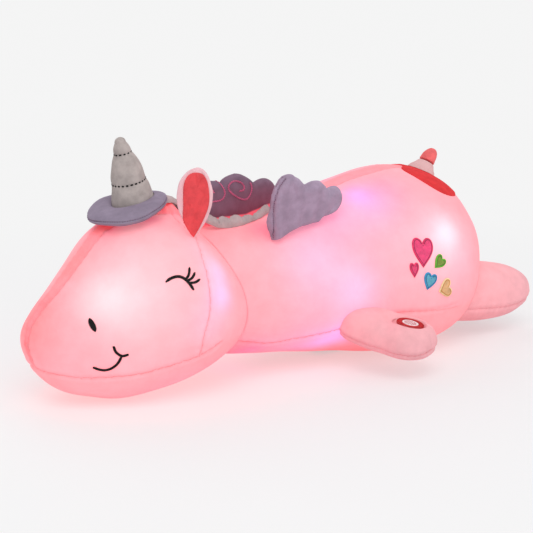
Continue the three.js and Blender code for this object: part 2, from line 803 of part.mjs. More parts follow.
// Ruffle: a row of small scallops on each side of the mane
const ruffleStartX = hornX + Math.sqrt(brim.outerRadius ** 2 - ruffle.offset ** 2) + ruffle.frontGap;
const scallopPitch = ruffle.length / ruffle.scallops;
const scallops = [];
for (let i = 0; i < ruffle.scallops; i++) {
  const x = ruffleStartX + (i + 0.5) * scallopPitch;
  const radius = scallopPitch * ruffle.overlapShare;
  const forms = x < alongForm(head, 1) ? [head, torso] : [torso];
  const skinZ = Math.max(...forms.map((form) => crownZ(form, x, ruffle.offset)));
  const topZ = skinZ + ruffle.height - radius;
  scallops.push(lobe(x, topZ, radius, skinZ - ruffle.sunk, ruffle.thickness, 0, ruffle.curveSteps));
}
for (const [side, sign] of bothSides) {
  const row = placed(joined(scallops), new THREE.Matrix4().makeTranslation(0, sign * ruffle.offset, 0));
  addPiece(`ruffle_${side}`, row.subtract(bodySeat), greyPlush);
}

// Wings, cleared for their flap about the root
const wingLobes = wing.lobeShares.map(([along, up, radius]) => {
  const shape = new THREE.Shape();
  shape.absarc(along * wing.length, up * wing.length, radius * wing.length, 0, 2 * Math.PI);
  return slabY(shape, wing.thickness, wing.bevel, wing.curveSteps);
});
const wingPoint = (shares) => new THREE.Vector2(...shares).multiplyScalar(wing.length);
const wingRoot = new THREE.Shape(wing.rootShares.map(wingPoint));
const wingFlat = joined([...wingLobes, slabY(wingRoot, wing.thickness, wing.bevel, 1)]);
function wingPivot(sign) {
  const x = alongForm(torso, wing.atShare);
  const y = sign * wing.outShare * halfWidthAt(torso, wing.atShare);
  return new THREE.Vector3(x, y, crownZ(torso, x, y));
}
for (const [side, sign] of bothSides) {
  const pivot = wingPivot(sign);
  const stand = new THREE.Matrix4()
    .makeTranslation(pivot.x, pivot.y, pivot.z - wing.sink)
    .multiply(new THREE.Matrix4().makeRotationX(-sign * degrees(wingLeans[side])));
  const axis = new THREE.Vector3(-sign, 0, 0);
  const limits = [wing.leastLean - wingLeans[side], wing.mostLean - wingLeans[side]];
  addPiece(`wing_${side}`, clearOf(placed(wingFlat, stand), torsoSeat, pivot, axis, limits), lavenderPlush);
}

// Patch on the rump, and the tail that stands on its middle
function crownFrame(x, step) {
  const fall = crownZ(torso, x - step, 0) - crownZ(torso, x + step, 0);
  return new THREE.Matrix4()
    .makeTranslation(x, 0, crownZ(torso, x, 0))
    .multiply(new THREE.Matrix4().makeRotationY(Math.atan2(fall, 2 * step)));
}
const patchMatrix = crownFrame(alongForm(torso, patch.atShare), patch.length / 4);
const patchDepth = patch.width / 2;
const patchPrism = turned(
  [
    [0, -patchDepth],
    [1, -patchDepth],
    [1, patchDepth],
    [0, patchDepth],
  ],
  patch.sides,
);
const patchScale = new THREE.Matrix4().makeScale(patch.length / 2, patch.width / 2, 1);
addPiece(
  "rump_patch",
  patchOn(torso, patch.thickness, placed(placed(patchPrism, patchScale), patchMatrix)),
  coralPlush,
);
const tailWhole = loft(tail.rings, tail.sides, (t, angle) => {
  const [along, half] = rowAt(tail.shares, t);
  return [
    tail.halfThickness * half * Math.sin(-angle),
    tail.halfWidth * half * Math.cos(-angle),
    along * tail.length,
  ];
});
const patchSkin = patch.thickness + 2 * seatGap;
const tailMatrix = crownFrame(alongForm(torso, tail.atShare), tail.halfWidth)
  .multiply(new THREE.Matrix4().makeTranslation(0, 0, patchSkin))
  .multiply(new THREE.Matrix4().makeRotationY(degrees(tail.lean)));
const tailPivot = new THREE.Vector3(0, 0, tail.pivotShare * tail.length).applyMatrix4(tailMatrix);
const tailAxis = new THREE.Vector3(1, 0, 0).transformDirection(tailMatrix);
const tailSplitZ = tail.tipShare * tail.length;
const tailHalf = (low, high) => box([-tail.length, -tail.length, low], [tail.length, tail.length, high]);
const tailBase = placed(tailWhole.intersect(tailHalf(-overrun, tailSplitZ)), tailMatrix);
const tailTipRoom = tailHalf(tailSplitZ + seatGap, tail.length + overrun);
const tailSeat = stuffedForm(torso, patchSkin);
addPiece("tail", clearOf(tailBase, tailSeat, tailPivot, tailAxis, [-tail.swing, tail.swing]), palePlush);
addPiece("tail_tip", placed(tailWhole.intersect(tailTipRoom), tailMatrix), coralPlush);

// Hearts on the left flank
for (const { name, atShare, upShare, height, tilt } of hearts) {
  const [w, h] = [(height * heart.widthShare) / 2, height / 2];
  const shape = new THREE.Shape();
  shape.moveTo(0, -h);
  for (const row of heart.curveShares) shape.bezierCurveTo(...row.map((share, i) => share * (i % 2 ? h : w)));
  const prism = slabY(shape, torso.halfWidth, 0, heart.curveSteps);
  const stand = new THREE.Matrix4()
    .makeTranslation(alongForm(torso, atShare), -torso.halfWidth, upShare * torso.height)
    .multiply(new THREE.Matrix4().makeRotationY(degrees(tilt)));
  addPiece(name, patchOn(torso, heart.thickness, placed(prism, stand)), thread[name]);
}

// Battery case: open below for the cells, with rails for the door and a bay for the board
const railLowZ = doorZ - seatGap;
const railTopZ = doorTopZ + seatGap;
const caseHollows = joined([
  box([cellBayX, -bayHalfWidth, caseBottomZ - overrun], [cellBayEndX, bayHalfWidth, ceilingZ]),
  box([cellBayX, -grooveHalfWidth, railLowZ], [caseEndX + overrun, grooveHalfWidth, railTopZ]),
  box([cellBayX, -bayHalfWidth, caseBottomZ - overrun], [caseEndX + overrun, bayHalfWidth, railTopZ]),
  box([boardBayX, -bayHalfWidth, railTopZ], [boardBayX + batteryCase.boardBay, bayHalfWidth, ceilingZ]),
  leadRoom,
]);
const caseBlock = box([caseFrontX, -caseHalfWidth, caseBottomZ], [caseEndX, caseHalfWidth, caseTopZ]);
addPiece("battery_case", caseBlock.subtract(caseHollows), whitePlastic);
const doorRibs = [];
for (let i = 0; i < door.ribs; i++) {
  const x = caseEndX - (i + 2) * door.ribPitch;
  const [halfRib, ribLowZ] = [door.ribLength / 2, doorZ - door.ribHeight];
  doorRibs.push(box([x, -halfRib, ribLowZ], [x + door.ribWidth, halfRib, doorTopZ]));
}
const doorPlate = box(
  [cellBayX + seatGap, seatGap - grooveHalfWidth, doorZ],
  [caseEndX, grooveHalfWidth - seatGap, doorTopZ],
);
addPiece("battery_door", joined([doorPlate, ...doorRibs]), whitePlastic);

// Cells in turn one way and the other, a spring at each foot, a plate at each end
const plateBox = (x) =>
  box(
    [x, seatGap - bayHalfWidth, railTopZ + seatGap],
    [x + contact.thickness, bayHalfWidth - seatGap, ceilingZ - seatGap],
  );
addPiece("contact_plate_front", plateBox(cellBayX + seatGap), steel);
addPiece("contact_plate_rear", plateBox(cellBayEndX - seatGap - contact.thickness), steel);
const cellMiddleX = (cellBayX + cellBayEndX) / 2;
const cellStartX = spring.length + seatGap - cellRoom / 2; // from the middle, at the foot
for (let i = 0; i < cell.count; i++) {
  const stand = new THREE.Matrix4()
    .makeTranslation(cellMiddleX, (i - (cell.count - 1) / 2) * cellPitch, cellZ)
    .multiply(new THREE.Matrix4().makeRotationZ(i % 2 ? Math.PI : 0));
  const can = barX(cellStartX, cellStartX + cell.length, 0, 0, cell.radius, cell.sides);
  const nub = barX(cellStartX + cell.length - overrun, cellRoom / 2, 0, 0, cell.nubRadius, cell.sides);
  addPiece(`cell_${i + 1}`, placed(can.add(nub), stand), darkPlastic);
  const lying = new THREE.Matrix4().makeRotationY(Math.PI / 2);
  const footCoil = placed(coil(spring, -cellRoom / 2, spring.length - cellRoom / 2), lying);
  addPiece(`contact_spring_${i + 1}`, placed(footCoil, stand), steel);
}
const boardMiddleZ = (railTopZ + ceilingZ) / 2;
const boardFace = box(
  [boardX, -board.length / 2, boardMiddleZ - board.height / 2],
  [boardX + board.thickness, board.length / 2, boardMiddleZ + board.height / 2],
);
const chip = box(
  [boardX, -board.chipSize / 2, boardMiddleZ - board.chipSize / 2],
  [boardX + board.thickness + board.chipHeight, board.chipSize / 2, boardMiddleZ + board.chipSize / 2],
);
addPiece("control_board", boardFace.add(chip), greenBoard);

// Zip: two rows of teeth on their tapes, in mesh, and the slider under them
const zipStartX = pouchStartX - zip.endMargin;
const zipEndX = pouchEndX + zip.endMargin;
const beadInner = zip.tapeGap / 2 + seatGap;
const beadOuter = beadInner + zip.beadWidth;
const beadLowZ = zip.restHeight - zip.beadHeight;
const toothLength = zip.toothPitch / 2 - seatGap;
for (const [side, sign] of bothSides) {
  const strip = (startX, endX, inner, outer, low, high) => {
    const [nearY, farY] = sign > 0 ? [inner, outer] : [-outer, -inner];
    return box([startX, nearY, low], [endX, farY, high]);
  };
  const row = [
    strip(zipStartX, zipEndX, zip.tapeGap / 2, zip.tapeGap / 2 + zip.tapeWidth, zip.restHeight, tapeTopZ),
    strip(zipStartX, zipEndX, beadInner, beadOuter, beadLowZ, zip.restHeight + zip.tapeThickness / 2),
  ];
  const firstX = zipStartX + (sign > 0 ? zip.toothPitch / 2 : 0);
  for (let x = firstX; x + toothLength < zipEndX; x += zip.toothPitch) {
    row.push(strip(x, x + toothLength, seatGap - beadInner, beadOuter, beadLowZ, zip.restHeight - seatGap));
  }
  addPiece(`zip_row_${side}`, joined(row), greyPlush);
}
const sliderInner = beadOuter + seatGap;
const sliderOuter = sliderInner + slider.wall;
const plateTopZ = beadLowZ - seatGap;
const plateLowZ = plateTopZ - slider.wall;
const sliderEndX = zipStartX + slider.length;
const crownMiddleX = zipStartX + slider.length / 2;
const crownHole = slider.crownLength / 2 - slider.wall;
const sliderTopZ = zip.restHeight - seatGap;
const sliderBlock = box([zipStartX, -sliderOuter, plateLowZ], [sliderEndX, sliderOuter, sliderTopZ]);
const sliderCrown = box(
  [crownMiddleX - slider.crownLength / 2, -slider.crownWidth / 2, plateLowZ - slider.crownHeight],
  [crownMiddleX + slider.crownLength / 2, slider.crownWidth / 2, plateTopZ],
);
const sliderHollow = joined([
  box(
    [zipStartX - overrun, -sliderInner, plateTopZ],
    [sliderEndX + overrun, sliderInner, sliderTopZ + overrun],
  ),
  box(
    [crownMiddleX - crownHole, -slider.crownWidth, plateLowZ - slider.crownHeight / 2],
    [crownMiddleX + crownHole, slider.crownWidth, plateLowZ],
  ),
]);
addPiece("zip_slider", sliderBlock.add(sliderCrown).subtract(sliderHollow), steel);

// Push switch: a can with a turned-in rim, the plunger held under it, its spring, and the sewn pad above
const floorTopZ = housingLowZ + pawSwitch.wall;
const rimTopZ = housingLowZ + pawSwitch.housingHeight;
const rimLowZ = rimTopZ - pawSwitch.wall;
const canInner = pawSwitch.housingRadius - pawSwitch.wall;
const rimInner = pawSwitch.plungerRadius + seatGap;
const housing = turned(
  [
    [0, housingLowZ],
    [pawSwitch.housingRadius, housingLowZ],
    [pawSwitch.housingRadius, rimTopZ],
    [rimInner, rimTopZ],
    [rimInner, rimLowZ],
    [canInner, rimLowZ],
    [canInner, floorTopZ],
    [0, floorTopZ],
  ],
  pawSwitch.sides,
);
addPiece("switch_housing", placed(housing, switchMatrix), whitePlastic);
const collarTopZ = rimLowZ - seatGap;
const collarLowZ = collarTopZ - pawSwitch.collarHeight;
const plungerTopZ = padTopZ - pawSwitch.padThickness - seatGap;
const plunger = turned(
  [
    [0, collarLowZ],
    [pawSwitch.plungerRadius + pawSwitch.collar, collarLowZ],
    [pawSwitch.plungerRadius + pawSwitch.collar, collarTopZ],
    [pawSwitch.plungerRadius, collarTopZ],
    [pawSwitch.plungerRadius, plungerTopZ - pawSwitch.wall],
    [pawSwitch.plungerRadius - pawSwitch.wall, plungerTopZ],
    [0, plungerTopZ],
  ],
  pawSwitch.sides,
);
addPiece("switch_plunger", placed(plunger, switchMatrix), whitePlastic);
const pressSpring = coil(pawSpring, floorTopZ + seatGap, collarLowZ - seatGap);
addPiece("switch_spring", placed(pressSpring, switchMatrix), steel);
const padLowZ = plungerTopZ + seatGap;
const pad = turned(
  [
    [0, padLowZ],
    [pawSwitch.padRadius, padLowZ],
    [pawSwitch.padRadius, (padLowZ + padTopZ) / 2],
    [pawSwitch.padRadius - pawSwitch.padThickness, padTopZ],
    [0, padTopZ],
  ],
  pawSwitch.sides,
);
addPiece("press_pad", placed(pad, switchMatrix), whiteCloth);

export default toy;
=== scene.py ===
# A lying plush unicorn night light: stuffed velboa forms, satin embroidery and the glow of the lamps inside
import bpy
import bmesh
import math
import numpy as np
from mathutils import Matrix, Vector
from mathutils.bvhtree import BVHTree
from mathutils.kdtree import KDTree


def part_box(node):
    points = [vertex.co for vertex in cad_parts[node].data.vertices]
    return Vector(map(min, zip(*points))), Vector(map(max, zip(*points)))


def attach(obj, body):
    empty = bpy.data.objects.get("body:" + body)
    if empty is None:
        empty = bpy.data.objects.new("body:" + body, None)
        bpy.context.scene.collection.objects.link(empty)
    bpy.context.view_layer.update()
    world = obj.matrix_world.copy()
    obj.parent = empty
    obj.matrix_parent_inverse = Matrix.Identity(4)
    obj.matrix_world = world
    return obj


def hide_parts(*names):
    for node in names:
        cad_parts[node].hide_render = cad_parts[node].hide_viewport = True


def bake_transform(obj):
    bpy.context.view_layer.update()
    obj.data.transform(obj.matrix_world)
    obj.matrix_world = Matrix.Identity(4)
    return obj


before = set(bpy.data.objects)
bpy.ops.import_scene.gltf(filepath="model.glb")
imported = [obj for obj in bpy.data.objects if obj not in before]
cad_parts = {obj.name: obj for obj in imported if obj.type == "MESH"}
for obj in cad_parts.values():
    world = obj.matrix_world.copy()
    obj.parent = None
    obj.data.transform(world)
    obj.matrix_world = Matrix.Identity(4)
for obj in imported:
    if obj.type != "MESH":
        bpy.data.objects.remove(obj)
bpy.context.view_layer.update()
scene = bpy.context.scene
mm = 0.001
up = Vector((0, 0, 1))

# Camera at the photograph's angle. A pixel is one of a frame of 533 by 533
cameraView = {
    "azimuth": -35, "elevation": 13, "distance": 1300 * mm, "focal": 1469, "frame": 533,
    "aim": Vector((-18.5, 0, 85)) * mm, "aimPixel": (270, 268), "sensor": 36,
}


def makeCamera(view):
    turn, lift = math.radians(view["azimuth"]), math.radians(view["elevation"])
    look = Vector((-math.sin(turn) * math.cos(lift), math.cos(turn) * math.cos(lift), -math.sin(lift)))
    data = bpy.data.cameras.new("camera")
    data.sensor_width = view["sensor"]
    data.lens = view["focal"] / view["frame"] * view["sensor"]
    data.shift_x = (view["frame"] / 2 - view["aimPixel"][0]) / view["frame"]
    data.shift_y = (view["aimPixel"][1] - view["frame"] / 2) / view["frame"]
    camera = bpy.data.objects.new("camera", data)
    scene.collection.objects.link(camera)
    right = look.cross(up).normalized()
    axes = Matrix((right, right.cross(look), -look)).transposed().to_4x4()
    camera.matrix_world = Matrix.Translation(view["aim"] - look * view["distance"]) @ axes
    scene.camera = camera
    return camera


camera = makeCamera(cameraView)
cameraAxes = [Vector(camera.matrix_world.col[i][:3]) for i in range(3)]
eyePoint = camera.matrix_world.translation.copy()


def pixelRay(px, py):
    right, above, back = cameraAxes
    across, down = px - cameraView["aimPixel"][0], py - cameraView["aimPixel"][1]
    return (right * across - above * down - back * cameraView["focal"]).normalized()


# Meshes
def addObject(name, mesh):
    obj = bpy.data.objects.new(name, mesh)
    scene.collection.objects.link(obj)
    return obj


def meshObject(name, places, faces):
    mesh = bpy.data.meshes.new(name)
    mesh.from_pydata([tuple(p) for p in places], [], faces)
    work = bmesh.new()
    work.from_mesh(mesh)
    bmesh.ops.remove_doubles(work, verts=work.verts, dist=0.01 * mm)
    bmesh.ops.recalc_face_normals(work, faces=work.faces)
    work.to_mesh(mesh)
    work.free()
    mesh.polygons.foreach_set("use_smooth", [True] * len(mesh.polygons))
    return addObject(name, mesh)


def pointsOf(obj):
    flat = np.empty(len(obj.data.vertices) * 3)
    obj.data.vertices.foreach_get("co", flat)
    return flat.reshape(-1, 3)


def normalsOf(obj):
    flat = np.empty(len(obj.data.vertices) * 3)
    obj.data.vertices.foreach_get("normal", flat)
    return flat.reshape(-1, 3)


def setPoints(obj, places):
    places = np.array(places, dtype=float)
    places[:, 2] = np.maximum(places[:, 2], 0)  # nothing goes below the floor
    obj.data.vertices.foreach_set("co", places.ravel())
    obj.data.update()


def smoothStep(value, low, high):
    share = np.clip((value - low) / (high - low), 0, 1)
    return share * share * (3 - 2 * share)


def plainMesh(obj):  # the modifiers' result, and no modifiers
    graph = bpy.context.evaluated_depsgraph_get()
    mesh = bpy.data.meshes.new_from_object(obj.evaluated_get(graph))
    obj.modifiers.clear()
    obj.data = mesh
    obj.data.polygons.foreach_set("use_smooth", [True] * len(mesh.polygons))
    return obj


def subdivided(obj, levels):
    smooth = obj.modifiers.new("smooth", "SUBSURF")
    smooth.levels = smooth.render_levels = levels
    return plainMesh(obj)


def skinOf(obj):
    mesh = obj.data
    return BVHTree.FromPolygons([v.co for v in mesh.vertices], [p.vertices[:] for p in mesh.polygons])


# A grid of rings as a closed skin. The first and the last ring are poles
def ringMesh(name, rings):
    sides = len(rings[1])
    places = [rings[0][0]]
    for ring in rings[1:-1]:
        places.extend(ring)
    places.append(rings[-1][0])
    last = len(places) - 1
    at = lambda i, j: 1 + (i - 1) * sides + j % sides
    faces = [(0, at(1, j + 1), at(1, j)) for j in range(sides)]
    for i in range(1, len(rings) - 2):
        faces += [(at(i, j), at(i, j + 1), at(i + 1, j + 1), at(i + 1, j)) for j in range(sides)]
    faces += [(at(len(rings) - 2, j), at(len(rings) - 2, j + 1), last) for j in range(sides)]
    return meshObject(name, places, faces)


def rowAt(table, t):  # one row of a table of shares, on a smooth curve through the rows
    last = len(table) - 1
    place = min(max(t, 0), 1) * last
    i = min(int(place), last - 1)
    u = place - i
    rows = np.array(table, dtype=float)
    before = rows[i - 1] if i > 0 else 2 * rows[0] - rows[1]
    after = rows[i + 2] if i + 2 <= last else 2 * rows[last] - rows[last - 1]
    a, b, d, e = before, rows[i], rows[i + 1], after
    return b + 0.5 * u * (d - a + u * (2 * a - 5 * b + 4 * d - e + u * (3 * (b - d) + e - a)))


def roundPower(value, roundness):
    return math.copysign(abs(value) ** (2 / roundness), value)


# Paths on a skin
def smoothPath(places, step):
    rows = [tuple(p) for p in places]
    fine = np.array([rowAt(rows, i / (len(rows) * 12)) for i in range(len(rows) * 12 + 1)])
    reach = np.concatenate([[0], np.cumsum(np.linalg.norm(np.diff(fine, axis=0), axis=1))])
    count = max(int(reach[-1] / step), 2)
    wanted = np.linspace(0, reach[-1], count + 1)
    return np.array([np.interp(wanted, reach, fine[:, k]) for k in range(3)]).T


def castPixel(skin, pixel):
    ray = pixelRay(*pixel)
    hit = skin.ray_cast(eyePoint, ray)[0]
    if hit is not None:
        return hit
    near = eyePoint + ray * (cameraView["aim"] - eyePoint).dot(ray)
    return skin.find_nearest(near)[0]


def onPlane(plane, pixel):  # where the pixel's ray meets the plane (origin, u, v, n), as its own two lengths
    origin, u, v, n = plane
    ray = pixelRay(*pixel)
    off = eyePoint + ray * ((origin - eyePoint).dot(n) / ray.dot(n)) - origin
    return off.dot(u), off.dot(v)


def pathOnPlane(plane, pixels, step=0.5 * mm):
    return smoothPath([(*onPlane(plane, pixel), 0) for pixel in pixels], step)[:, :2]


def pathFromPixels(skin, pixels, step=1 * mm):
    return smoothPath([castPixel(skin, p) for p in pixels], step)


def pathFromAbove(skin, places, step=1 * mm):  # places are (x, y) in millimetres
    hits = [skin.ray_cast(Vector((x * mm, y * mm, 1)), Vector((0, 0, -1)))[0] for x, y in places]
    return smoothPath([h for h in hits if h is not None], step)


def mirrored(path):
    return path * np.array([1, -1, 1])


def layOn(skin, path):
    return np.array([skin.find_nearest(Vector(p))[0] for p in path])


def lookupOf(places):  # finds the nearest of the places
    lookup = KDTree(len(places))
    for i, p in enumerate(places):
        lookup.insert(Vector(p), i)
    lookup.balance()
    return lookup


# Sewn seams: the skin dips along each path, swells beside it and gathers across it, and the ends fade out
seamLook = {"dip": 1.3 * mm, "dipWidth": 1.5 * mm, "swell": 0.35 * mm, "swellAt": 4.5 * mm, "swellWidth": 2.4 * mm,
            "pucker": 0.2 * mm, "puckerWidth": 7 * mm, "puckerPitch": 7.5 * mm, "reach": 14 * mm, "fadePoints": 6}


def sewSeams(obj, paths, look):
    places, outward = pointsOf(obj), normalsOf(obj)
    moved = places.copy()
    for path in paths:
        lookup = lookupOf(path)
        step = np.linalg.norm(path[1] - path[0])
        margin = look["reach"] + 1 * mm
        near = np.all((places > path.min(axis=0) - margin) & (places < path.max(axis=0) + margin), axis=1)
        for i in np.nonzero(near)[0]:
            _, index, gap = lookup.find(Vector(places[i]))
            if gap > look["reach"]:
                continue
            along = index * step
            fade = min(1, min(index, len(path) - 1 - index) / look["fadePoints"] + 0.15)
            wave = math.cos(2 * math.pi * along / look["puckerPitch"]) + 0.6 * math.cos(along / (3.1 * mm) + 1)
            shift = -look["dip"] * math.exp(-((gap / look["dipWidth"]) ** 2))
            shift += look["swell"] * math.exp(-(((gap - look["swellAt"]) / look["swellWidth"]) ** 2))
            shift += look["pucker"] * wave * math.exp(-((gap / look["puckerWidth"]) ** 2))
            moved[i] += outward[i] * shift * fade
    setPoints(obj, moved)


# Soft unevenness of stuffing: long low waves, the same on each run
def lumpy(obj, height, wavelength, seed):
    rng = np.random.default_rng(seed)
    places, outward = pointsOf(obj), normalsOf(obj)
    total = np.zeros(len(places))
    for _ in range(9):
        direction = rng.normal(size=3)
        direction /= np.linalg.norm(direction)
        wave = wavelength * rng.uniform(0.6, 1.6)
        total += np.sin(places @ direction * 2 * math.pi / wave + rng.uniform(0, 6.3))
    setPoints(obj, places + outward * (total * height / 3)[:, None])


# Points of a form that lie inside its neighbour move out along a direction, to lie on the neighbour's skin
def pushOut(obj, skin, direction, gap=0.3 * mm, only=None, farthest=120 * mm):
    way = Vector(direction).normalized()
    places = pointsOf(obj)
    for i in range(len(places)) if only is None else np.nonzero(only)[0]:
        p = Vector(places[i])
        near, facing, _, _ = skin.find_nearest(p)
        if (p - near).dot(facing) > gap:
            continue
        hit = skin.ray_cast(p, way)[0]
        onWay = hit is not None and (hit - p).length < farthest
        places[i] = hit + way * gap if onWay else near + facing * gap
    setPoints(obj, places)


# Stuffing: cloth under pressure, held at the seams, and no point moves past the cap
stuffing = {"frames": 14, "pressure": 4.0, "tension": 8.0, "mass": 0.12}


def puff(obj, paths, cap, holdWidth=4 * mm):
    before = pointsOf(obj)
    held = obj.vertex_groups.new(name="seams")
    lookup = lookupOf(np.concatenate(paths)[::3])
    for i, p in enumerate(before):
        if p[2] < 1 * mm or lookup.find(Vector(p))[2] < holdWidth:
            held.add([i], 1.0, "REPLACE")
    cloth = obj.modifiers.new("stuffing", "CLOTH")
    cloth.settings.vertex_group_mass = "seams"
    cloth.settings.use_pressure = True
    cloth.settings.uniform_pressure_force = stuffing["pressure"]
    cloth.settings.tension_stiffness = cloth.settings.compression_stiffness = stuffing["tension"]
    cloth.settings.mass = stuffing["mass"]
    cloth.settings.effector_weights.gravity = 0
    cloth.collision_settings.use_collision = False
    cloth.point_cache.frame_end = stuffing["frames"]
    for number in range(1, stuffing["frames"] + 1):
        scene.frame_set(number)
    after = pointsOf(plainMesh(obj))
    scene.frame_set(1)
    shift = after - before
    reach = np.linalg.norm(shift, axis=1, keepdims=True)
    after = before + shift * np.minimum(1, cap / np.maximum(reach, 1e-9))
    after[:, 2] = np.maximum(after[:, 2], 0)
    setPoints(obj, after)


# Threads laid by Geometry Nodes: one slim thread on each point, along its own direction
def threadNodes():
    tree = bpy.data.node_groups.new("layThreads", "GeometryNodeTree")
    face = tree.interface
    face.new_socket("Geometry", in_out="INPUT", socket_type="NodeSocketGeometry")
    face.new_socket("Thickness", in_out="INPUT", socket_type="NodeSocketFloat")
    face.new_socket("Thread", in_out="INPUT", socket_type="NodeSocketMaterial")
    face.new_socket("Geometry", in_out="OUTPUT", socket_type="NodeSocketGeometry")
    node, link = tree.nodes.new, tree.links.new
    start, end = node("NodeGroupInput"), node("NodeGroupOutput")

    def attribute(name, kind):
        reader = node("GeometryNodeInputNamedAttribute")
        reader.data_type = kind
        reader.inputs["Name"].default_value = name
        return reader.outputs["Attribute"]

    ball = node("GeometryNodeMeshUVSphere")
    ball.inputs["Segments"].default_value = 6
    ball.inputs["Rings"].default_value = 5
    turn = node("FunctionNodeAxesToRotation")
    turn.primary_axis, turn.secondary_axis = "X", "Z"
    link(attribute("along", "FLOAT_VECTOR"), turn.inputs["Primary Axis"])
    link(attribute("facing", "FLOAT_VECTOR"), turn.inputs["Secondary Axis"])
    size = node("ShaderNodeCombineXYZ")
    link(attribute("halfSpan", "FLOAT"), size.inputs[0])
    link(start.outputs["Thickness"], size.inputs[1])
    link(start.outputs["Thickness"], size.inputs[2])
    copies = node("GeometryNodeInstanceOnPoints")
    link(start.outputs["Geometry"], copies.inputs["Points"])
    link(ball.outputs["Mesh"], copies.inputs["Instance"])
    link(turn.outputs["Rotation"], copies.inputs["Rotation"])
    link(size.outputs[0], copies.inputs["Scale"])
    real = node("GeometryNodeRealizeInstances")
    link(copies.outputs[0], real.inputs[0])
    shade = node("GeometryNodeSetShadeSmooth")
    link(real.outputs[0], shade.inputs["Geometry"])
    paint = node("GeometryNodeSetMaterial")
    link(shade.outputs[0], paint.inputs["Geometry"])
    link(start.outputs["Thread"], paint.inputs["Material"])
    link(paint.outputs[0], end.inputs[0])
    return tree


threadTree = threadNodes()


def layThreads(name, stitches, thickness, material):  # stitches are (middle, along, facing, span)
    mesh = bpy.data.meshes.new(name)
    mesh.from_pydata([tuple(s[0]) for s in stitches], [], [])
    for label, column in (("along", 1), ("facing", 2)):
        layer = mesh.attributes.new(label, "FLOAT_VECTOR", "POINT")
        layer.data.foreach_set("vector", np.array([tuple(s[column]) for s in stitches]).ravel())
    spans = mesh.attributes.new("halfSpan", "FLOAT", "POINT")
    spans.data.foreach_set("value", [s[3] / 2 for s in stitches])
    obj = addObject(name, mesh)
    lay = obj.modifiers.new("threads", "NODES")
    lay.node_group = threadTree
    sockets = {s.name: s.identifier for s in threadTree.interface.items_tree if s.in_out == "INPUT"}
    lay[sockets["Thickness"]] = thickness
    lay[sockets["Thread"]] = material
    bpy.context.view_layer.update()
    return plainMesh(obj)


def alongSkin(way, facing):  # the part of a direction that runs along the skin
    return (way - facing * way.dot(facing)).normalized()


def frameOn(skin, path):  # for each point of a path: place, tangent, outward normal
    tangents = np.gradient(path, axis=0)
    rows = []
    for p, tangent in zip(path, tangents):
        near, facing, _, _ = skin.find_nearest(Vector(p))
        rows.append((near, alongSkin(Vector(tangent), facing), facing))
    return rows


def satinStroke(skin, path, widthAt, lift=0.3 * mm, skew=0.25):  # threads side by side across the path
    rows = frameOn(skin, path)
    stitches = []
    for i, (place, tangent, facing) in enumerate(rows):
        across = facing.cross(tangent)
        along = (across + tangent * skew).normalized()
        stitches.append((place + facing * lift, along, facing, widthAt(i / (len(rows) - 1))))
    return stitches


def runningStitch(skin, path, pitch, span, lift=0.15 * mm):  # a dashed line of threads along the path
    rows = frameOn(skin, path)
    step = np.median(np.linalg.norm(np.diff(path, axis=0), axis=1))
    every = max(int(round(pitch / step)), 1)
    return [(p + n * lift, t, n, span) for p, t, n in rows[every // 2::every]]


# Materials. Patterns follow Object coordinates, in metres
def newMaterial(name):
    material = bpy.data.materials.new(name)
    material.use_nodes = True
    tree = material.node_tree
    return material, tree, next(n for n in tree.nodes if n.type == "BSDF_PRINCIPLED")


def fillSockets(tree, sockets, values):
    for socket, value in zip(sockets, values):
        if isinstance(value, bpy.types.NodeSocket):
            tree.links.new(value, socket)
        elif value is not None:
            socket.default_value = value


def mathNode(tree, operation, *values, clamp=False):
    node = tree.nodes.new("ShaderNodeMath")
    node.operation, node.use_clamp = operation, clamp
    fillSockets(tree, node.inputs, values)
    return node.outputs[0]


def vectorNode(tree, operation, *values):
    node = tree.nodes.new("ShaderNodeVectorMath")
    node.operation = operation
    fillSockets(tree, node.inputs, values)
    return node.outputs["Value" if operation in ("LENGTH", "DOT_PRODUCT", "DISTANCE") else "Vector"]


def mixColours(tree, factor, first, second, way="MIX"):
    node = tree.nodes.new("ShaderNodeMix")
    node.data_type, node.blend_type = "RGBA", way
    fillSockets(tree, [node.inputs[0], node.inputs[6], node.inputs[7]], (factor, first, second))
    return node.outputs[2]


def noiseNode(tree, vector, scale, detail=2, rough=0.5):
    node = tree.nodes.new("ShaderNodeTexNoise")
    fillSockets(tree, [node.inputs[k] for k in ("Vector", "Scale", "Detail", "Roughness")],
                (vector, scale, detail, rough))
    return node.outputs["Fac"]


def rampNode(tree, factor, stops):
    node = tree.nodes.new("ShaderNodeValToRGB")
    tree.links.new(factor, node.inputs[0])
    for i, (place, shade) in enumerate(stops):
        stop = node.color_ramp.elements[i] if i < 2 else node.color_ramp.elements.new(place)
        stop.position, stop.color = place, (shade, shade, shade, 1) if isinstance(shade, (int, float)) else shade
    return node.outputs[0]


def bumpNode(tree, height, strength, distance, before=None):
    node = tree.nodes.new("ShaderNodeBump")
    fillSockets(tree, [node.inputs[k] for k in ("Strength", "Distance", "Height")], (strength, distance, height))
    if before is not None:
        tree.links.new(before, node.inputs["Normal"])
    return node.outputs[0]


def objectPlace(tree):
    return tree.nodes.new("ShaderNodeTexCoord").outputs["Object"]


def partsOf(tree, place):  # its x, y and z
    parts = tree.nodes.new("ShaderNodeSeparateXYZ")
    tree.links.new(place, parts.inputs[0])
    return parts.outputs


def sidedPlace(tree, place):  # the left side and the right side alike
    x, y, z = partsOf(tree, place)
    joined = tree.nodes.new("ShaderNodeCombineXYZ")
    fillSockets(tree, joined.inputs, (x, mathNode(tree, "ABSOLUTE", y), z))
    return joined.outputs[0]


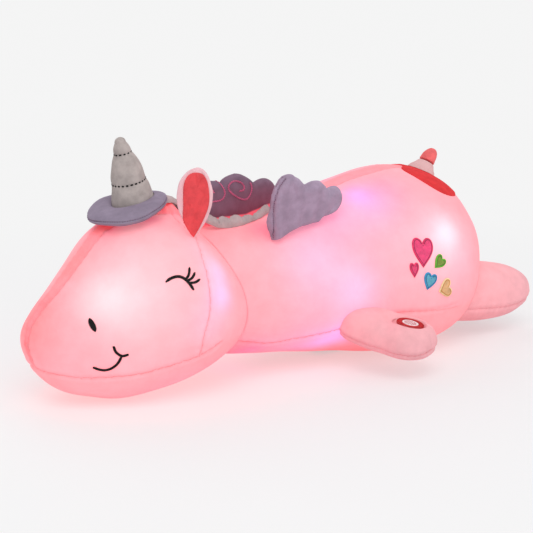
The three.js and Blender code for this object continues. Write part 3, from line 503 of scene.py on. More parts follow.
def scaledNode(tree, vector, factor):
    node = tree.nodes.new("ShaderNodeVectorMath")
    node.operation = "SCALE"
    fillSockets(tree, (node.inputs[0], node.inputs["Scale"]), (vector, factor))
    return node.outputs[0]


def lightUp(shader, colour, strength):
    fillSockets(shader.id_data, (shader.inputs["Emission Color"], shader.inputs["Emission Strength"]),
                (colour, strength))


def linear(colour):  # of 0 to 255 as seen on a screen
    return tuple((c / 255 / 12.92) if c <= 10 else ((c / 255 + 0.055) / 1.055) ** 2.4 for c in colour) + (1,)


def shaded(colour, factor):
    return tuple(min(c * factor, 1) for c in colour[:3]) + (1,)


# Short pile: fine fibres, and patches where the nap lies the other way
pileLook = {"fibreScale": 1500, "fibreHeight": 0.3 * mm, "fibreStrength": 0.3, "napScale": 75, "napDark": 0.93,
            "napLight": 1.06, "creaseScale": 260, "sheen": 0.3, "sheenRoughness": 0.5, "roughness": 0.88}


def pile(name, colour, look=None, tint=None):
    look = {**pileLook, **(look or {})}
    material, tree, shader = newMaterial(name)
    place = objectPlace(tree)
    nap = rampNode(tree, noiseNode(tree, place, look["napScale"], 4, 0.6), [(0.35, 0), (0.65, 1)])
    brushed = mixColours(tree, nap, shaded(colour, look["napDark"]), shaded(colour, look["napLight"]))
    fibres = noiseNode(tree, place, look["fibreScale"], 3, 0.7)
    mottle = mixColours(tree, rampNode(tree, fibres, [(0.3, 0.0), (0.7, 0.16)]), brushed, shaded(colour, 0.78))
    tree.links.new(mottle if tint is None else tint(tree, place, mottle), shader.inputs["Base Color"])
    soft = bumpNode(tree, noiseNode(tree, place, look["creaseScale"], 2, 0.5), 0.12, 1.2 * mm)
    fine = bumpNode(tree, fibres, look["fibreStrength"], look["fibreHeight"], soft)
    tree.links.new(fine, shader.inputs["Normal"])
    shader.inputs["Roughness"].default_value = look["roughness"]
    shader.inputs["Sheen Weight"].default_value = look["sheen"]
    shader.inputs["Sheen Roughness"].default_value = look["sheenRoughness"]
    shader.inputs["Sheen Tint"].default_value = shaded(colour, 1.4)
    shader.inputs["Specular IOR Level"].default_value = 0.15
    return material, tree, shader, place


# Satin thread: shiny, with fine twist
def satin(name, colour, rough=0.42, sheen=0.2):
    material, tree, shader = newMaterial(name)
    place = objectPlace(tree)
    twist = noiseNode(tree, place, 2600, 2, 0.6)
    patches = rampNode(tree, noiseNode(tree, place, 300, 2), [(0.3, 0), (0.7, 1)])
    tree.links.new(mixColours(tree, patches, shaded(colour, 0.86), shaded(colour, 1.12)), shader.inputs["Base Color"])
    tree.links.new(bumpNode(tree, twist, 0.35, 0.15 * mm), shader.inputs["Normal"])
    shader.inputs["Roughness"].default_value = rough
    shader.inputs["Sheen Weight"].default_value = sheen
    return material


# The light of the lamps inside, seen through the pile: soft spots about a place, alike on both sides.
# A row is [pixel of the photograph's frame, or place in mm, then radius in mm, colour, strength]
glowLook = {
    "legs": (0.30, 0.06, 0.075, 1), "paws": (0.04, 0.006, 0.01, 1), "legRoots": [(55, 60, 40), (180, 55, 45)],
    "legReach": 118, "strength": 1.0, "seamShade": 0.62,
    "side": (0.43, 0.137, 0.153, 1), "gusset": (0.44, 0.04, 0.045, 1), "belly": (0.45, 0.122, 0.128, 1),
    "headSpots": [
        [(108, 302), 22, (0.50, 0.75, 0.72), 0.24], [(128, 292), 30, (0.45, 0.70, 0.68), 0.16],
        [(92, 296), 18, (0.45, 0.70, 0.68), 0.10], [(160, 262), 36, (0.35, 0.55, 0.52), 0.14],
        [(165, 320), 34, (0.35, 0.50, 0.48), 0.08], [(221, 296), 12, (0.10, 0.36, 0.95), 0.42],
        [(217, 272), 12, (0.15, 0.42, 0.95), 0.36], [(208, 322), 17, (0.25, 0.28, 0.60), 0.20],
        [(200, 250), 14, (0.20, 0.30, 0.50), 0.14], [(140, 300), 60, (0.05, 0.55, 0.66), 0.07],
        # These two spots are painted shade under the brim's lower edge: they take green and blue out of the glow
        [(108, 229), 13, (0.15, -1.0, -0.9), 0.12], [(150, 219), 11, (0.1, -1.0, -0.7), 0.08],
        [(-122, -6, 156), 13, (0.25, -1.0, -0.9), 0.13], [(33, 322), 24, (-0.1, -0.8, -1.0), 0.14],
        [(70, 262), 16, (0, -0.7, -1.0), 0.06], [(140, 345), 30, (0.1, 0.7, 0.6), 0.05],
        [(-212, -25, 2), 42, (0.9, 0.10, 0.12), 0.60], [(-150, -52, 4), 38, (0.9, 0.05, 0.10), 0.70],
    ],
    "bodySpots": [
        [(312, 262), 28, (0.20, 0.42, 0.90), 0.20], [(357, 291), 23, (0.20, 0.42, 0.95), 0.30],
        [(330, 300), 44, (0.20, 0.42, 0.82), 0.13], [(395, 215), 60, (0.10, 0.25, 0.90), 0.05],
        [(325, 228), 36, (0.02, 0.05, 0.95), 0.07], [(380, 190), 22, (0, -0.9, 0.2), 0.06],
        [(300, 345), 26, (0.10, 0.20, 0.95), 0.14], [(462, 262), 22, (0.20, 0.55, 0.90), 0.08],
        [(356, 195), 14, (0.35, 0.02, 0.95), 0.32],
        [(372, 203), 20, (0.30, 0.10, 0.80), 0.20], [(360, 215), 26, (0.25, 0.24, 0.60), 0.12],
        [(446, 232), 15, (0.60, 0.85, 0.95), 0.38], [(440, 246), 28, (0.40, 0.70, 0.76), 0.20],
        [(420, 262), 44, (0.30, 0.45, 0.50), 0.10], [(262, 229), 13, (0.20, -0.9, -0.7), 0.13],
        [(342, 334), 15, (0.30, 0.26, 1.00), 0.38], [(322, 341), 15, (0.30, 0.28, 1.00), 0.30],
        [(228, 354), 16, (0.50, 0.00, 0.45), 0.45], [(250, 350), 16, (0.50, 0.00, 0.35), 0.25],
        [(340, 215), 20, (0.40, 0.06, 0.45), 0.14],
        # The first spot here is painted shade: it takes green and blue out of the glow under the neck, so the floor
        # there is lit red as in a contact shadow. The second spot is glow
        [(-84, -60, 4), 22, (0.9, -1.0, -1.0), 0.5], [(-85, -52, 2), 34, (0.9, 0.02, 0.10), 0.90],
        [(-30, -55, 2), 34, (0.9, 0.05, 0.12), 0.45],
    ],
}


def spotsOf(skin, rows):
    return [(castPixel(skin, at) if len(at) == 2 else Vector(at) * mm, radius * mm, colour, strength)
            for at, radius, colour, strength in rows]


def glowing(name, colour, spots):
    material, tree, shader, place = pile(name, colour)
    sided = sidedPlace(tree, place)
    panel = tree.nodes.new("ShaderNodeAttribute")
    panel.attribute_name = "panels"
    shares = tree.nodes.new("ShaderNodeSeparateColor")
    tree.links.new(panel.outputs["Color"], shares.inputs[0])
    total = mixColours(tree, shares.outputs[0], glowLook["side"], glowLook["gusset"])
    total = mixColours(tree, shares.outputs[1], total, glowLook["belly"])
    cloud = rampNode(tree, noiseNode(tree, place, 16, 3, 0.55), [(0.3, 0.88), (0.7, 1.1)])
    total = mixColours(tree, 1.0, total, cloud, "MULTIPLY")
    for centre, radius, tint, strength in spots:
        centre = Vector((centre[0], abs(centre[1]), centre[2]))
        reach = vectorNode(tree, "DISTANCE", sided, centre)
        fall = mathNode(tree, "EXPONENT", mathNode(tree, "MULTIPLY", mathNode(tree, "POWER",
                        mathNode(tree, "DIVIDE", reach, radius), 2.0), -1.0))
        total = vectorNode(tree, "ADD", total, scaledNode(tree, tint, mathNode(tree, "MULTIPLY", fall, strength)))
    shadow = mathNode(tree, "SUBTRACT", 1.0, mathNode(tree, "MULTIPLY", shares.outputs[2], glowLook["seamShade"]))
    lit = vectorNode(tree, "MAXIMUM", scaledNode(tree, total, shadow), (0, 0, 0))
    lightUp(shader, vectorNode(tree, "MINIMUM", lit, (1, 1, 1)), glowLook["strength"])
    return material


def dress(obj, material):
    obj.data.materials.clear()
    obj.data.materials.append(material)
    return obj


def finishPiece(obj, body, nodes=(), blendTo=None):
    if blendTo is None:
        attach(obj, body)
    else:
        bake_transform(obj)
    if nodes:
        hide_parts(*nodes)
    return obj


blackThread = satin("blackThread", linear((4, 2, 3)), 0.9, 0)
seamThread = satin("greyishPinkThread", linear((212, 142, 148)), 0.7)
# The seam threads are given a painted glow, like the pile round them
lightUp(seamThread.node_tree.nodes["Principled BSDF"], (0.19, 0.056, 0.06, 1), 1.0)
coralThread = satin("coralThread", linear((214, 74, 84)))
swirlThread = satin("swirlThread", linear((205, 84, 128)))
wineThread = satin("wineThread", linear((112, 66, 96)), 0.6)
print("materials ready")

# Head and torso. A row: along, top, bottom, half width, roundness above and below
headForm = {
    "node": "head", "height": 151, "halfWidth": 85, "length": 194, "widest": 0.44, "rings": 62, "sides": 84,
    "rows": [
        [0, 0.37, 0.37, 0, 1.9, 2.2], [0.021, 0.46, 0.27, 0.2, 1.9, 2.2], [0.072, 0.55, 0.16, 0.34, 1.8, 2.2],
        [0.15, 0.65, 0.075, 0.5, 1.7, 2.2], [0.25, 0.79, 0.03, 0.65, 1.65, 2.3], [0.36, 0.93, 0, 0.8, 1.7, 2.3],
        [0.5, 1, 0.018, 0.93, 1.85, 2.2], [0.63, 0.985, 0.05, 0.97, 2, 2.2], [0.76, 0.905, 0.11, 0.92, 2, 2.2],
        [0.88, 0.765, 0.2, 0.74, 2, 2.2], [0.96, 0.62, 0.35, 0.44, 2, 2.2], [1, 0.5, 0.5, 0, 2, 2.2],
    ],
}
torsoForm = {
    "node": "torso", "height": 165, "halfWidth": 88, "length": 321, "widest": 0.47, "rings": 72, "sides": 84,
    "rows": [
        [0, 0.5, 0.5, 0, 2, 2.3], [0.012, 0.7, 0.27, 0.34, 2, 2.3], [0.078, 0.785, 0.14, 0.636, 2.05, 2.3],
        [0.2025, 0.804, 0.1, 0.739, 2.05, 2.3], [0.327, 0.851, 0.075, 0.818, 2.05, 2.3],
        [0.467, 0.915, 0.035, 0.88, 2.05, 2.4], [0.607, 0.97, 0.004, 0.935, 2.05, 2.9], [0.726, 1, 0, 0.98, 2.05, 3.2],
        [0.841, 0.955, 0.02, 0.9, 2.05, 2.8], [0.925, 0.84, 0.13, 0.69, 2.05, 2.3], [0.98, 0.68, 0.28, 0.4, 2, 2.2],
        [1, 0.476, 0.476, 0, 2, 2.2],
    ],
}
restFlat = 0.5  # a stuffed form is pressed flat by so much where it lies, in mm


def formRow(form, t):
    row = rowAt(form["rows"], t)
    depth = form["height"] + restFlat
    low = row[2] * depth - restFlat
    high = row[1] * depth - restFlat
    middle = low + (high - low) * form["widest"]
    return row[0] * form["length"], low, high, middle, row[3] * form["halfWidth"], row[4], row[5]


def formPoint(form, row, angle):  # angle 0 is the right side, a quarter turn is the crown
    along, low, high, middle, half, above, below = row
    c, s = math.cos(angle), math.sin(angle)
    roundness = above if s >= 0 else below
    reach = high - middle if s >= 0 else middle - low
    x = form["frontX"] + along
    return Vector((x, half * roundPower(c, roundness), max(middle + reach * roundPower(s, roundness), 0))) * mm


def stuffedForm(form):
    form["frontX"] = (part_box(form["node"])[0].x) / mm if form["node"] == "head" else torsoFront
    rings = []
    for i in range(form["rings"] + 1):
        row = formRow(form, i / form["rings"])
        rings.append([formPoint(form, row, 2 * math.pi * j / form["sides"]) for j in range(form["sides"])])
    return ringMesh(form["node"] + "Plush", rings)


torsoFront = -120.5  # inside the head, where the solid of the torso is cut away
headPlush, torsoPlush = stuffedForm(headForm), stuffedForm(torsoForm)
headSkin, torsoSkin = skinOf(headPlush), skinOf(torsoPlush)

# Legs: an axis from the root, and rows [along, half width, half thickness]
frontLegForm = {
    "root": (0.44, 0.59, 0.277), "reachX": 42, "reachY": 76, "drop": 17, "halfWidth": 28.5, "halfThickness": 17,
    "roundness": 2.3, "rings": 44, "sides": 48,
    "rows": [[0, 0, 0], [0.03, 0.45, 0.5], [0.16, 0.82, 0.92], [0.36, 0.94, 1], [0.55, 0.97, 0.96],
             [0.75, 1, 0.93], [0.9, 0.8, 0.74], [0.975, 0.46, 0.44], [1, 0, 0]],
}
hindLegForm = {
    "root": (0.788, 0.341, 0.277), "reachX": 125.05, "reachY": 9, "drop": 9, "halfWidth": 28, "halfThickness": 27.5,
    "roundness": 2.15, "rings": 44, "sides": 48,
    "rows": [[0, 0, 0], [0.03, 0.5, 0.5], [0.15, 0.9, 0.9], [0.4, 1, 1], [0.6, 1, 1], [0.78, 0.88, 0.88],
             [0.91, 0.64, 0.62], [0.975, 0.35, 0.33], [1, 0, 0]],
}


def legAxes(leg, side):
    along = Vector((leg["reachX"], side * leg["reachY"], -leg["drop"]))
    length = along.length
    along.normalize()
    across = up.cross(along).normalized()
    share, out, rise = leg["root"]
    root = Vector((torsoFront + share * torsoForm["length"], side * out * torsoForm["halfWidth"],
                   rise * torsoForm["height"]))
    return root, along, across, along.cross(across), length


def legPoint(leg, axes, t, angle):
    root, along, across, through, length = axes
    share, wide, thick = rowAt(leg["rows"], t)
    out, rise = (roundPower(part, leg["roundness"]) for part in (math.cos(angle), math.sin(angle)))
    place = root + along * share * length + across * wide * leg["halfWidth"] * out
    place += through * thick * leg["halfThickness"] * rise
    place.z = max(place.z, 0)
    return place * mm


def legMesh(name, leg, side):
    axes = legAxes(leg, side)
    rings = [[legPoint(leg, axes, i / leg["rings"], 2 * math.pi * j / leg["sides"]) for j in range(leg["sides"])]
             for i in range(leg["rings"] + 1)]
    return ringMesh(name, rings)


legs = []
for sideName, side in (("left", -1), ("right", 1)):
    for place, form in (("front", frontLegForm), ("hind", hindLegForm)):
        mesh = legMesh(place + "Leg" + sideName.title(), form, side)
        legs.append((place + "_leg_" + sideName, mesh, form, side))

# Seams as the photograph shows them on the left, in pixels, and the same on the right
headSeams = {
    "gusset": [(99.5, 228), (86, 243), (74.6, 263), (66.3, 279.6), (59.7, 292.9), (41.5, 307.8), (35.7, 322.7),
               (28.2, 332.7), (25, 349), (31.5, 365.8)],
    "chin": [(56, 375), (82.9, 379), (132.7, 375.8), (174, 365.8), (207.3, 352.6), (222, 341)],
    "cheek": [(195.7, 236.5), (202, 254), (206.5, 269.7), (209.6, 288), (210.6, 306), (208.6, 320), (205.6, 332.7),
              (203, 344), (200, 356)],
}
headCrown = {"gusset": [(-187, 8.5), (-172, 10), (-150, 12), (-130, 12), (-105, 12)],
             "cheek": [(-124, 36), (-126, 20), (-127, 0)]}
headLook = {"legSeamDrop": 0.42, "rearLift": 9, "bump": (-122, 11, 13, 12.5),
            "gussetWidths": [(0, 8), (0.4, 7), (0.6, 4.5), (1, 2.5)]}
torsoSeams = {
    "belly": [(226, 340.5), (245, 342), (267.8, 343.8), (291.8, 339.8), (320, 334.5), (347.6, 327.8), (372, 321),
              (397, 313), (418, 311.5), (440, 310), (458, 306.2)],
    "back": [(318, 187), (323.7, 184.3), (341, 180.3), (352, 176.2), (363.5, 173), (379.5, 167.5)],
}
torsoCrown = {"back": [(4, 8), (30, 9), (60, 10), (90, 10.5), (118, 11)], "middle": [(-100, 0), (-60, 0), (-14, 0)],
              "mane": [(-14, 0), (-6, 4), (4, 8)]}


def bothSidesOf(paths):
    return paths + [mirrored(p) for p in paths]


def besideMiddle(skin, pixels, halfWidths):  # the profile of the pixels, moved to the left of the middle line
    middle, places = [castPixel(skin, p) for p in pixels], []
    for i, p in enumerate(middle):
        before, after = middle[max(i - 1, 0)], middle[min(i + 1, len(middle) - 1)]
        out = Vector((after.z - before.z, 0, before.x - after.x)).normalized()
        if out.dot(Vector((p.x, 0, p.z)) - Vector((-190, 0, 70)) * mm) < 0:
            out = -out
        width = -float(np.interp(i / (len(middle) - 1), *zip(*halfWidths))) * mm
        start = Vector((p.x, width, p.z)) + out * 30 * mm
        hit = skin.ray_cast(start, -out)[0]
        places.append(hit if hit is not None else skin.find_nearest(Vector((p.x, width, p.z)))[0])
    return smoothPath(places, 1 * mm)


gussetPath = besideMiddle(headSkin, headSeams["gusset"], headLook["gussetWidths"])
jaw = [gussetPath[-1], *[castPixel(headSkin, p) for p in headSeams["chin"]]]
chinPath = smoothPath(jaw, 1 * mm)
cheekPath = pathFromPixels(headSkin, headSeams["cheek"])
crownGusset = pathFromAbove(headSkin, [(x, -y) for x, y in headCrown["gusset"]])
crownCheek = pathFromAbove(headSkin, [(x, -y) for x, y in headCrown["cheek"]])
headPaths = [layOn(headSkin, p) for p in bothSidesOf([gussetPath, chinPath, cheekPath, crownGusset, crownCheek])]
bellyPath = pathFromPixels(torsoSkin, torsoSeams["belly"])
backPath = pathFromAbove(torsoSkin, [(x, -y) for x, y in torsoCrown["back"]])
maneFork = pathFromAbove(torsoSkin, [(x, -y) for x, y in torsoCrown["mane"]])
middlePath = pathFromAbove(torsoSkin, torsoCrown["middle"])
torsoPaths = [layOn(torsoSkin, p) for p in bothSidesOf([bellyPath, backPath, maneFork]) + [middlePath]]


def legSeams(leg, side):
    axes = legAxes(leg, side)
    paths = []
    for angle in (-headLook["legSeamDrop"], math.pi + headLook["legSeamDrop"]):
        places = [tuple(legPoint(leg, axes, 0.02 + 0.96 * i / 24, angle)) for i in range(25)]
        paths.append(smoothPath(places, 1 * mm))
    return paths


puff(headPlush, headPaths, 2.5 * mm)
puff(torsoPlush, torsoPaths, 3 * mm)
subdivided(headPlush, 2)
subdivided(torsoPlush, 2)
lumpy(headPlush, 0.35 * mm, 60 * mm, 3)
lumpy(torsoPlush, 0.45 * mm, 70 * mm, 5)
sewSeams(headPlush, headPaths, seamLook)
sewSeams(torsoPlush, torsoPaths, seamLook)
print("head and torso sewn")

# Behind the brim the crown of the head stands up in a soft fold: centre, half length, half width and height in mm
crownX, crownLong, crownWide, crownHigh = headLook["bump"]
places = pointsOf(headPlush)
fold = np.exp(-(((places[:, 0] / mm - crownX) / crownLong) ** 2 + (places[:, 1] / mm / crownWide) ** 2))
places[:, 2] += fold * (places[:, 2] > 90 * mm) * crownHigh * mm
setPoints(headPlush, places)
places = pointsOf(torsoPlush)
x, y, z = places.T / mm  # low at the rear the skin is drawn up to the hind legs
rear = smoothStep(x, 95, 145) * smoothStep(np.abs(y), 25, 75) * np.clip(1 - z / 75, 0, 1)
places[:, 2] += rear * headLook["rearLift"] * mm
setPoints(torsoPlush, places)

# The torso ends in the back of the head
headSkin = skinOf(headPlush)
inHead = pointsOf(torsoPlush)[:, 0] < -60 * mm
pushOut(torsoPlush, headSkin, (1, 0, 0), only=inHead)
torsoSkin = skinOf(torsoPlush)

for node, leg, form, side in legs:
    paths = legSeams(form, side)
    puff(leg, paths, 1.5 * mm, holdWidth=3 * mm)
    subdivided(leg, 2)
    lumpy(leg, 0.25 * mm, 40 * mm, 11)
    sewSeams(leg, paths, {**seamLook, "dip": 0.9 * mm, "puckerPitch": 6 * mm})
    pushOut(leg, torsoSkin, legAxes(form, side)[1])
print("legs sewn")


# Which panel a point of the skin belongs to: red the gusset, green the belly, blue the shade beside neighbours
def panelShare(places, path, axis, width=1.6 * mm):
    lookup = lookupOf([(x, abs(y), z) for x, y, z in path])
    nearest = np.array([lookup.find(Vector((p[0], abs(p[1]), p[2])))[1] for p in places])
    edge = np.abs(path[nearest][:, axis])
    return smoothStep(edge - np.abs(places[:, axis]), -width, width)


def seamShare(places, paths, width=1.1 * mm):  # 1 in a seam, falling off beside it
    lookup = lookupOf(np.concatenate(paths))
    reach = np.array([lookup.find(Vector(p))[2] for p in places])
    return np.exp(-((reach / width) ** 2))


def markPanels(obj, gusset, belly, shade):
    layer = obj.data.color_attributes.new("panels", "FLOAT_COLOR", "POINT")
    rows = np.ones((len(gusset), 4))
    rows[:, 0], rows[:, 1], rows[:, 2] = gusset, belly, shade
    layer.data.foreach_set("color", rows.ravel())


headPlaces, torsoPlaces = pointsOf(headPlush), pointsOf(torsoPlush)
headGusset = panelShare(headPlaces, np.concatenate([gussetPath, crownGusset]), 1)
headGusset *= smoothStep(headPlaces[:, 2], 28 * mm, 40 * mm)
headBelly = panelShare(headPlaces, chinPath, 2) * smoothStep(-headPlaces[:, 2], -60 * mm, -45 * mm)
markPanels(headPlush, headGusset, headBelly, seamShare(headPlaces, headPaths))
torsoGusset = panelShare(torsoPlaces, backPath, 1) * smoothStep(torsoPlaces[:, 0], 0, 12 * mm)
torsoGusset *= smoothStep(torsoPlaces[:, 2], 100 * mm, 115 * mm)
torsoBelly = panelShare(torsoPlaces, bellyPath, 2) * smoothStep(-torsoPlaces[:, 2], -60 * mm, -45 * mm)
markPanels(torsoPlush, torsoGusset, torsoBelly, seamShare(torsoPlaces, torsoPaths))
pinkColour = linear((230, 153, 160))
glowPink = glowing("glowingPinkPlush", pinkColour,
                   spotsOf(headSkin, glowLook["headSpots"]) + spotsOf(torsoSkin, glowLook["bodySpots"]))
legColour = linear((224, 172, 176))
legPlush, legTree, legShader, legPlace = pile("pinkPlushLegs", legColour)
legReaches = [vectorNode(legTree, "DISTANCE", sidedPlace(legTree, legPlace), Vector(root) * mm)
              for root in glowLook["legRoots"]]
legFade = mathNode(legTree, "MINIMUM", *legReaches)
legFade = mathNode(legTree, "MULTIPLY_ADD", legFade, -1 / (glowLook["legReach"] * mm), 1.0, clamp=True)
lightUp(legShader, mixColours(legTree, legFade, glowLook["paws"], glowLook["legs"]), 1.0)
finishPiece(dress(headPlush, glowPink), "body", ["head"])
finishPiece(dress(torsoPlush, glowPink), "body", ["torso"])
seamStitches = []
for skin, paths in ((headSkin, headPaths), (torsoSkin, torsoPaths[:-1])):
    for path in paths:
        seamStitches += runningStitch(skin, layOn(skin, path), 2.3 * mm, 2.1 * mm, -0.05 * mm)
for node, leg, form, side in legs:
    legSkin = skinOf(leg)
    for path in legSeams(form, side):
        seamStitches += runningStitch(legSkin, layOn(legSkin, path), 2.3 * mm, 2.0 * mm, 0.02 * mm)
    finishPiece(dress(leg, legPlush), "body", [node])
finishPiece(layThreads("seamStitches", seamStitches, 0.36 * mm, seamThread), "body")


# Embroidery of the face, in pixels of the photograph's frame, and the same on the right
faceLook = {
    "eye": [(165.8, 282), (170.5, 278.6), (177, 276.6), (182.5, 277.6), (187, 281), (190.5, 285), (193.5, 290)],
    "lashes": [[(185.6, 279.4), (188.6, 275), (189.6, 267.5)], [(187.2, 281), (192, 278), (195, 272.6)],
               [(188.8, 283), (195, 282.4), (200, 279.3)]],
    "nostril": [(89.6, 318.4), (92.2, 324.6), (95.4, 331.6)],
    "mouth": [[(113.6, 346.3), (116, 352), (121.9, 355.9), (128.5, 354.6)],
              [(93.2, 367.2), (99.5, 369.5), (106, 370), (112, 368), (117.5, 363.6), (121.5, 356.9)]],
    "pitch": 0.32 * mm, "thread": 0.3 * mm,
}


def strokes(skin, rows, look):
    stitches = []
    for pixels, widthAt in rows:
        path = pathFromPixels(skin, pixels, look["pitch"])
        for line in (path, mirrored(path)):
            stitches += satinStroke(skin, layOn(skin, line), widthAt)
    return stitches


def tapered(width, start, end):
    return lambda t: width * mm * min(1, start + t * 5, end + (1 - t) * 5)


faceRows = [(faceLook["eye"], tapered(3.1, 0.5, 0.6))]
faceRows += [(row, tapered(2.5, 0.9, 0.4)) for row in faceLook["lashes"]]
faceRows.append((faceLook["nostril"], lambda t: 5.8 * mm * math.sqrt(max(1 - (2 * t - 1) ** 2, 0.05))))
faceRows += [(row, tapered(2.7, 0.75, 0.75)) for row in faceLook["mouth"]]
face = layThreads("faceEmbroidery", strokes(headSkin, faceRows, faceLook), faceLook["thread"], blackThread)
finishPiece(face, "body")
print("face embroidered")

# Horn: three stuffed sections between stitched rings, on an axis that leans to the nose
hornLook = {"foot": (-153.8, 0, 151.2), "lean": 12.3, "height": 62, "radius": 17.8, "pinches": [0.42, 0.81],
            "profile": [(-0.08, 1.02), (0, 1), (0.42, 0.83), (0.81, 0.42), (1, 0.16)], "swell": 2.0, "rings": 110,
            "sides": 72,
            "capAt": 0.955, "gathers": 26, "gatherDepth": 0.28, "pinchReach": 2.2, "dash": 2.7 * mm, "gap": 3.9 * mm}
lean = math.radians(-hornLook["lean"])
hornAxis = Vector((math.sin(lean), 0, math.cos(lean)))
hornAcross = Vector((math.cos(lean), 0, -math.sin(lean)))
sideways = Vector((0, 1, 0))
hornFoot = Vector(hornLook["foot"])


def hornRadius(share):
    rows = hornLook["profile"]
    for (low, wide), (high, narrow) in zip(rows, rows[1:]):
        if share <= high or high == 1:
            u = min(max((share - low) / (high - low), 0), 1)
            bulge = math.sin(math.pi * min(u * 0.92 + 0.04, 1)) ** 0.55
            return (wide + (narrow - wide) * u) * hornLook["radius"] + hornLook["swell"] * (1.6 * bulge - 1)
    return 0


def hornPoint(share, angle, grow=0):
    radius = hornRadius(share) + grow
    for pinch in hornLook["pinches"]:
        near = math.exp(-(((share - pinch) * hornLook["height"] / hornLook["pinchReach"]) ** 2))
        radius += hornLook["gatherDepth"] * math.cos(hornLook["gathers"] * angle) * near
    return (hornFoot + hornAxis * share * hornLook["height"]
            + (hornAcross * math.cos(angle) + sideways * math.sin(angle)) * radius) * mm


def hornRings():
    top, count, rings = hornLook["capAt"], hornLook["rings"], []
    turns = [2 * math.pi * j / hornLook["sides"] for j in range(hornLook["sides"])]
    for i in range(count):
        share = -0.08 + (top + 0.08) * i / (count - 1)
        rings.append([hornPoint(share, turn) for turn in turns])
    tip, capTop = hornFoot * mm + hornAxis * top * hornLook["height"] * mm, hornRadius(top)
    for i in range(1, 9):  # a round end
        a = i / 9 * math.pi / 2
        rings.append([tip + (hornAxis * math.sin(a) * 0.9 + (hornAcross * math.cos(turn)
                      + sideways * math.sin(turn)) * math.cos(a)) * capTop * mm for turn in turns])
    start = hornFoot * mm - hornAxis * 0.08 * hornLook["height"] * mm
    return [[start]] + rings + [[tip + hornAxis * 0.9 * capTop * mm]]


hornPlush = ringMesh("hornPlush", hornRings())
lumpy(hornPlush, 0.3 * mm, 22 * mm, 21)
pushOut(hornPlush, headSkin, hornAxis)
hornSkin = skinOf(hornPlush)
greyPile, _, _, _ = pile("greyPlush", linear((176, 165, 161)),
                         {"napDark": 0.84, "napLight": 1.1, "napScale": 130, "sheen": 0.2})
finishPiece(dress(hornPlush, greyPile), "body", ["horn"])
hornStitches = []
for pinch in hornLook["pinches"]:
    ring = smoothPath([tuple(hornPoint(pinch, 2 * math.pi * k / 90, 0.2)) for k in range(91)], 0.3 * mm)
    hornStitches += runningStitch(hornSkin, layOn(hornSkin, ring), hornLook["gap"], hornLook["dash"], 0.05 * mm)
finishPiece(layThreads("hornStitches", hornStitches, 0.75 * mm, blackThread), "body")

# Brim: a stuffed ring round the horn's foot, sewn along its lower outer edge
brimLook = {
    "foot": (-161.06, 0, 150.75), "lean": 9, "inner": 10.1, "outer": 34.5, "thick": 13, "rise": 3.5, "around": 132,
    "section": 44,
    "seamAt": 0.1, "seamDip": 1.3, "seamWidth": 0.12, "gathers": 44, "gatherDepth": 0.25, "gatherWidth": 0.35,
    "lifts": [(-125, -1.5), (-95, -1), (-60, 2.5), (-35, 4.5), (10, 3), (55, 1.5), (100, 4), (145, -1.5), (190, -1.5)],
    "reaches": [(-125, 2.5), (-95, 2), (-35, -0.5), (55, 0), (145, -2), (190, 0.5)],
}
tilt = math.radians(-brimLook["lean"])
brimAxis, brimAcross = Vector((math.sin(tilt), 0, math.cos(tilt))), Vector((math.cos(tilt), 0, -math.sin(tilt)))


def aroundTable(rows):  # a smooth closed curve through rows of [degrees, value], one value for each 5 degrees
    table = np.interp(np.arange(0, 360, 5), [a % 360 for a, _ in rows], [value for _, value in rows], period=360)
    for _ in range(8):
        table = (np.roll(table, 1) + 2 * table + np.roll(table, -1)) / 4
    return table


brimLifts, brimReaches = aroundTable(brimLook["lifts"]), aroundTable(brimLook["reaches"])


def brimPoint(turn, angle):
    inner = brimLook["inner"]
    step = math.degrees(turn) % 360
    lift, reach = (float(np.interp(step, np.arange(0, 360, 5), table, period=360))
                   for table in (brimLifts, brimReaches))
    half = (brimLook["outer"] + reach - inner) / 2
    radius = inner + half * (1 + roundPower(math.cos(angle), 2.2))
    share = (radius - inner) / (2 * half)
    rise = brimLook["rise"] + brimLook["thick"] / 2 * roundPower(math.sin(angle), 1.8) * (1.06 - 0.3 * share ** 2)
    rise += lift * share ** 1.5 + share ** 2 * 0.5 * math.sin(5 * turn + 2.2)
    fromSeam = angle - brimLook["seamAt"]
    gather = brimLook["gatherDepth"] * math.cos(brimLook["gathers"] * turn)
    gather *= math.exp(-((fromSeam / brimLook["gatherWidth"]) ** 2))
    radius -= brimLook["seamDip"] * math.exp(-((fromSeam / brimLook["seamWidth"]) ** 2)) - gather
    outward = brimAcross * math.cos(turn) + sideways * math.sin(turn)
    place = Vector(brimLook["foot"]) + brimAxis * rise + outward * radius
    height = (place - hornFoot).dot(hornAxis)
    off = place - hornFoot - hornAxis * height
    least = hornRadius(height / hornLook["height"]) + 0.3
    if off.length < least:
        place = hornFoot + hornAxis * height + off.normalized() * least
    return place * mm


def ringGrid(name, pointAt, around, section):  # a closed ring of closed sections
    places = [pointAt(2 * math.pi * i / around, 2 * math.pi * j / section - math.pi)
              for i in range(around) for j in range(section)]
    at = lambda i, j: (i % around) * section + j % section
    faces = [(at(i, j), at(i + 1, j), at(i + 1, j + 1), at(i, j + 1)) for i in range(around) for j in range(section)]
    return meshObject(name, places, faces)


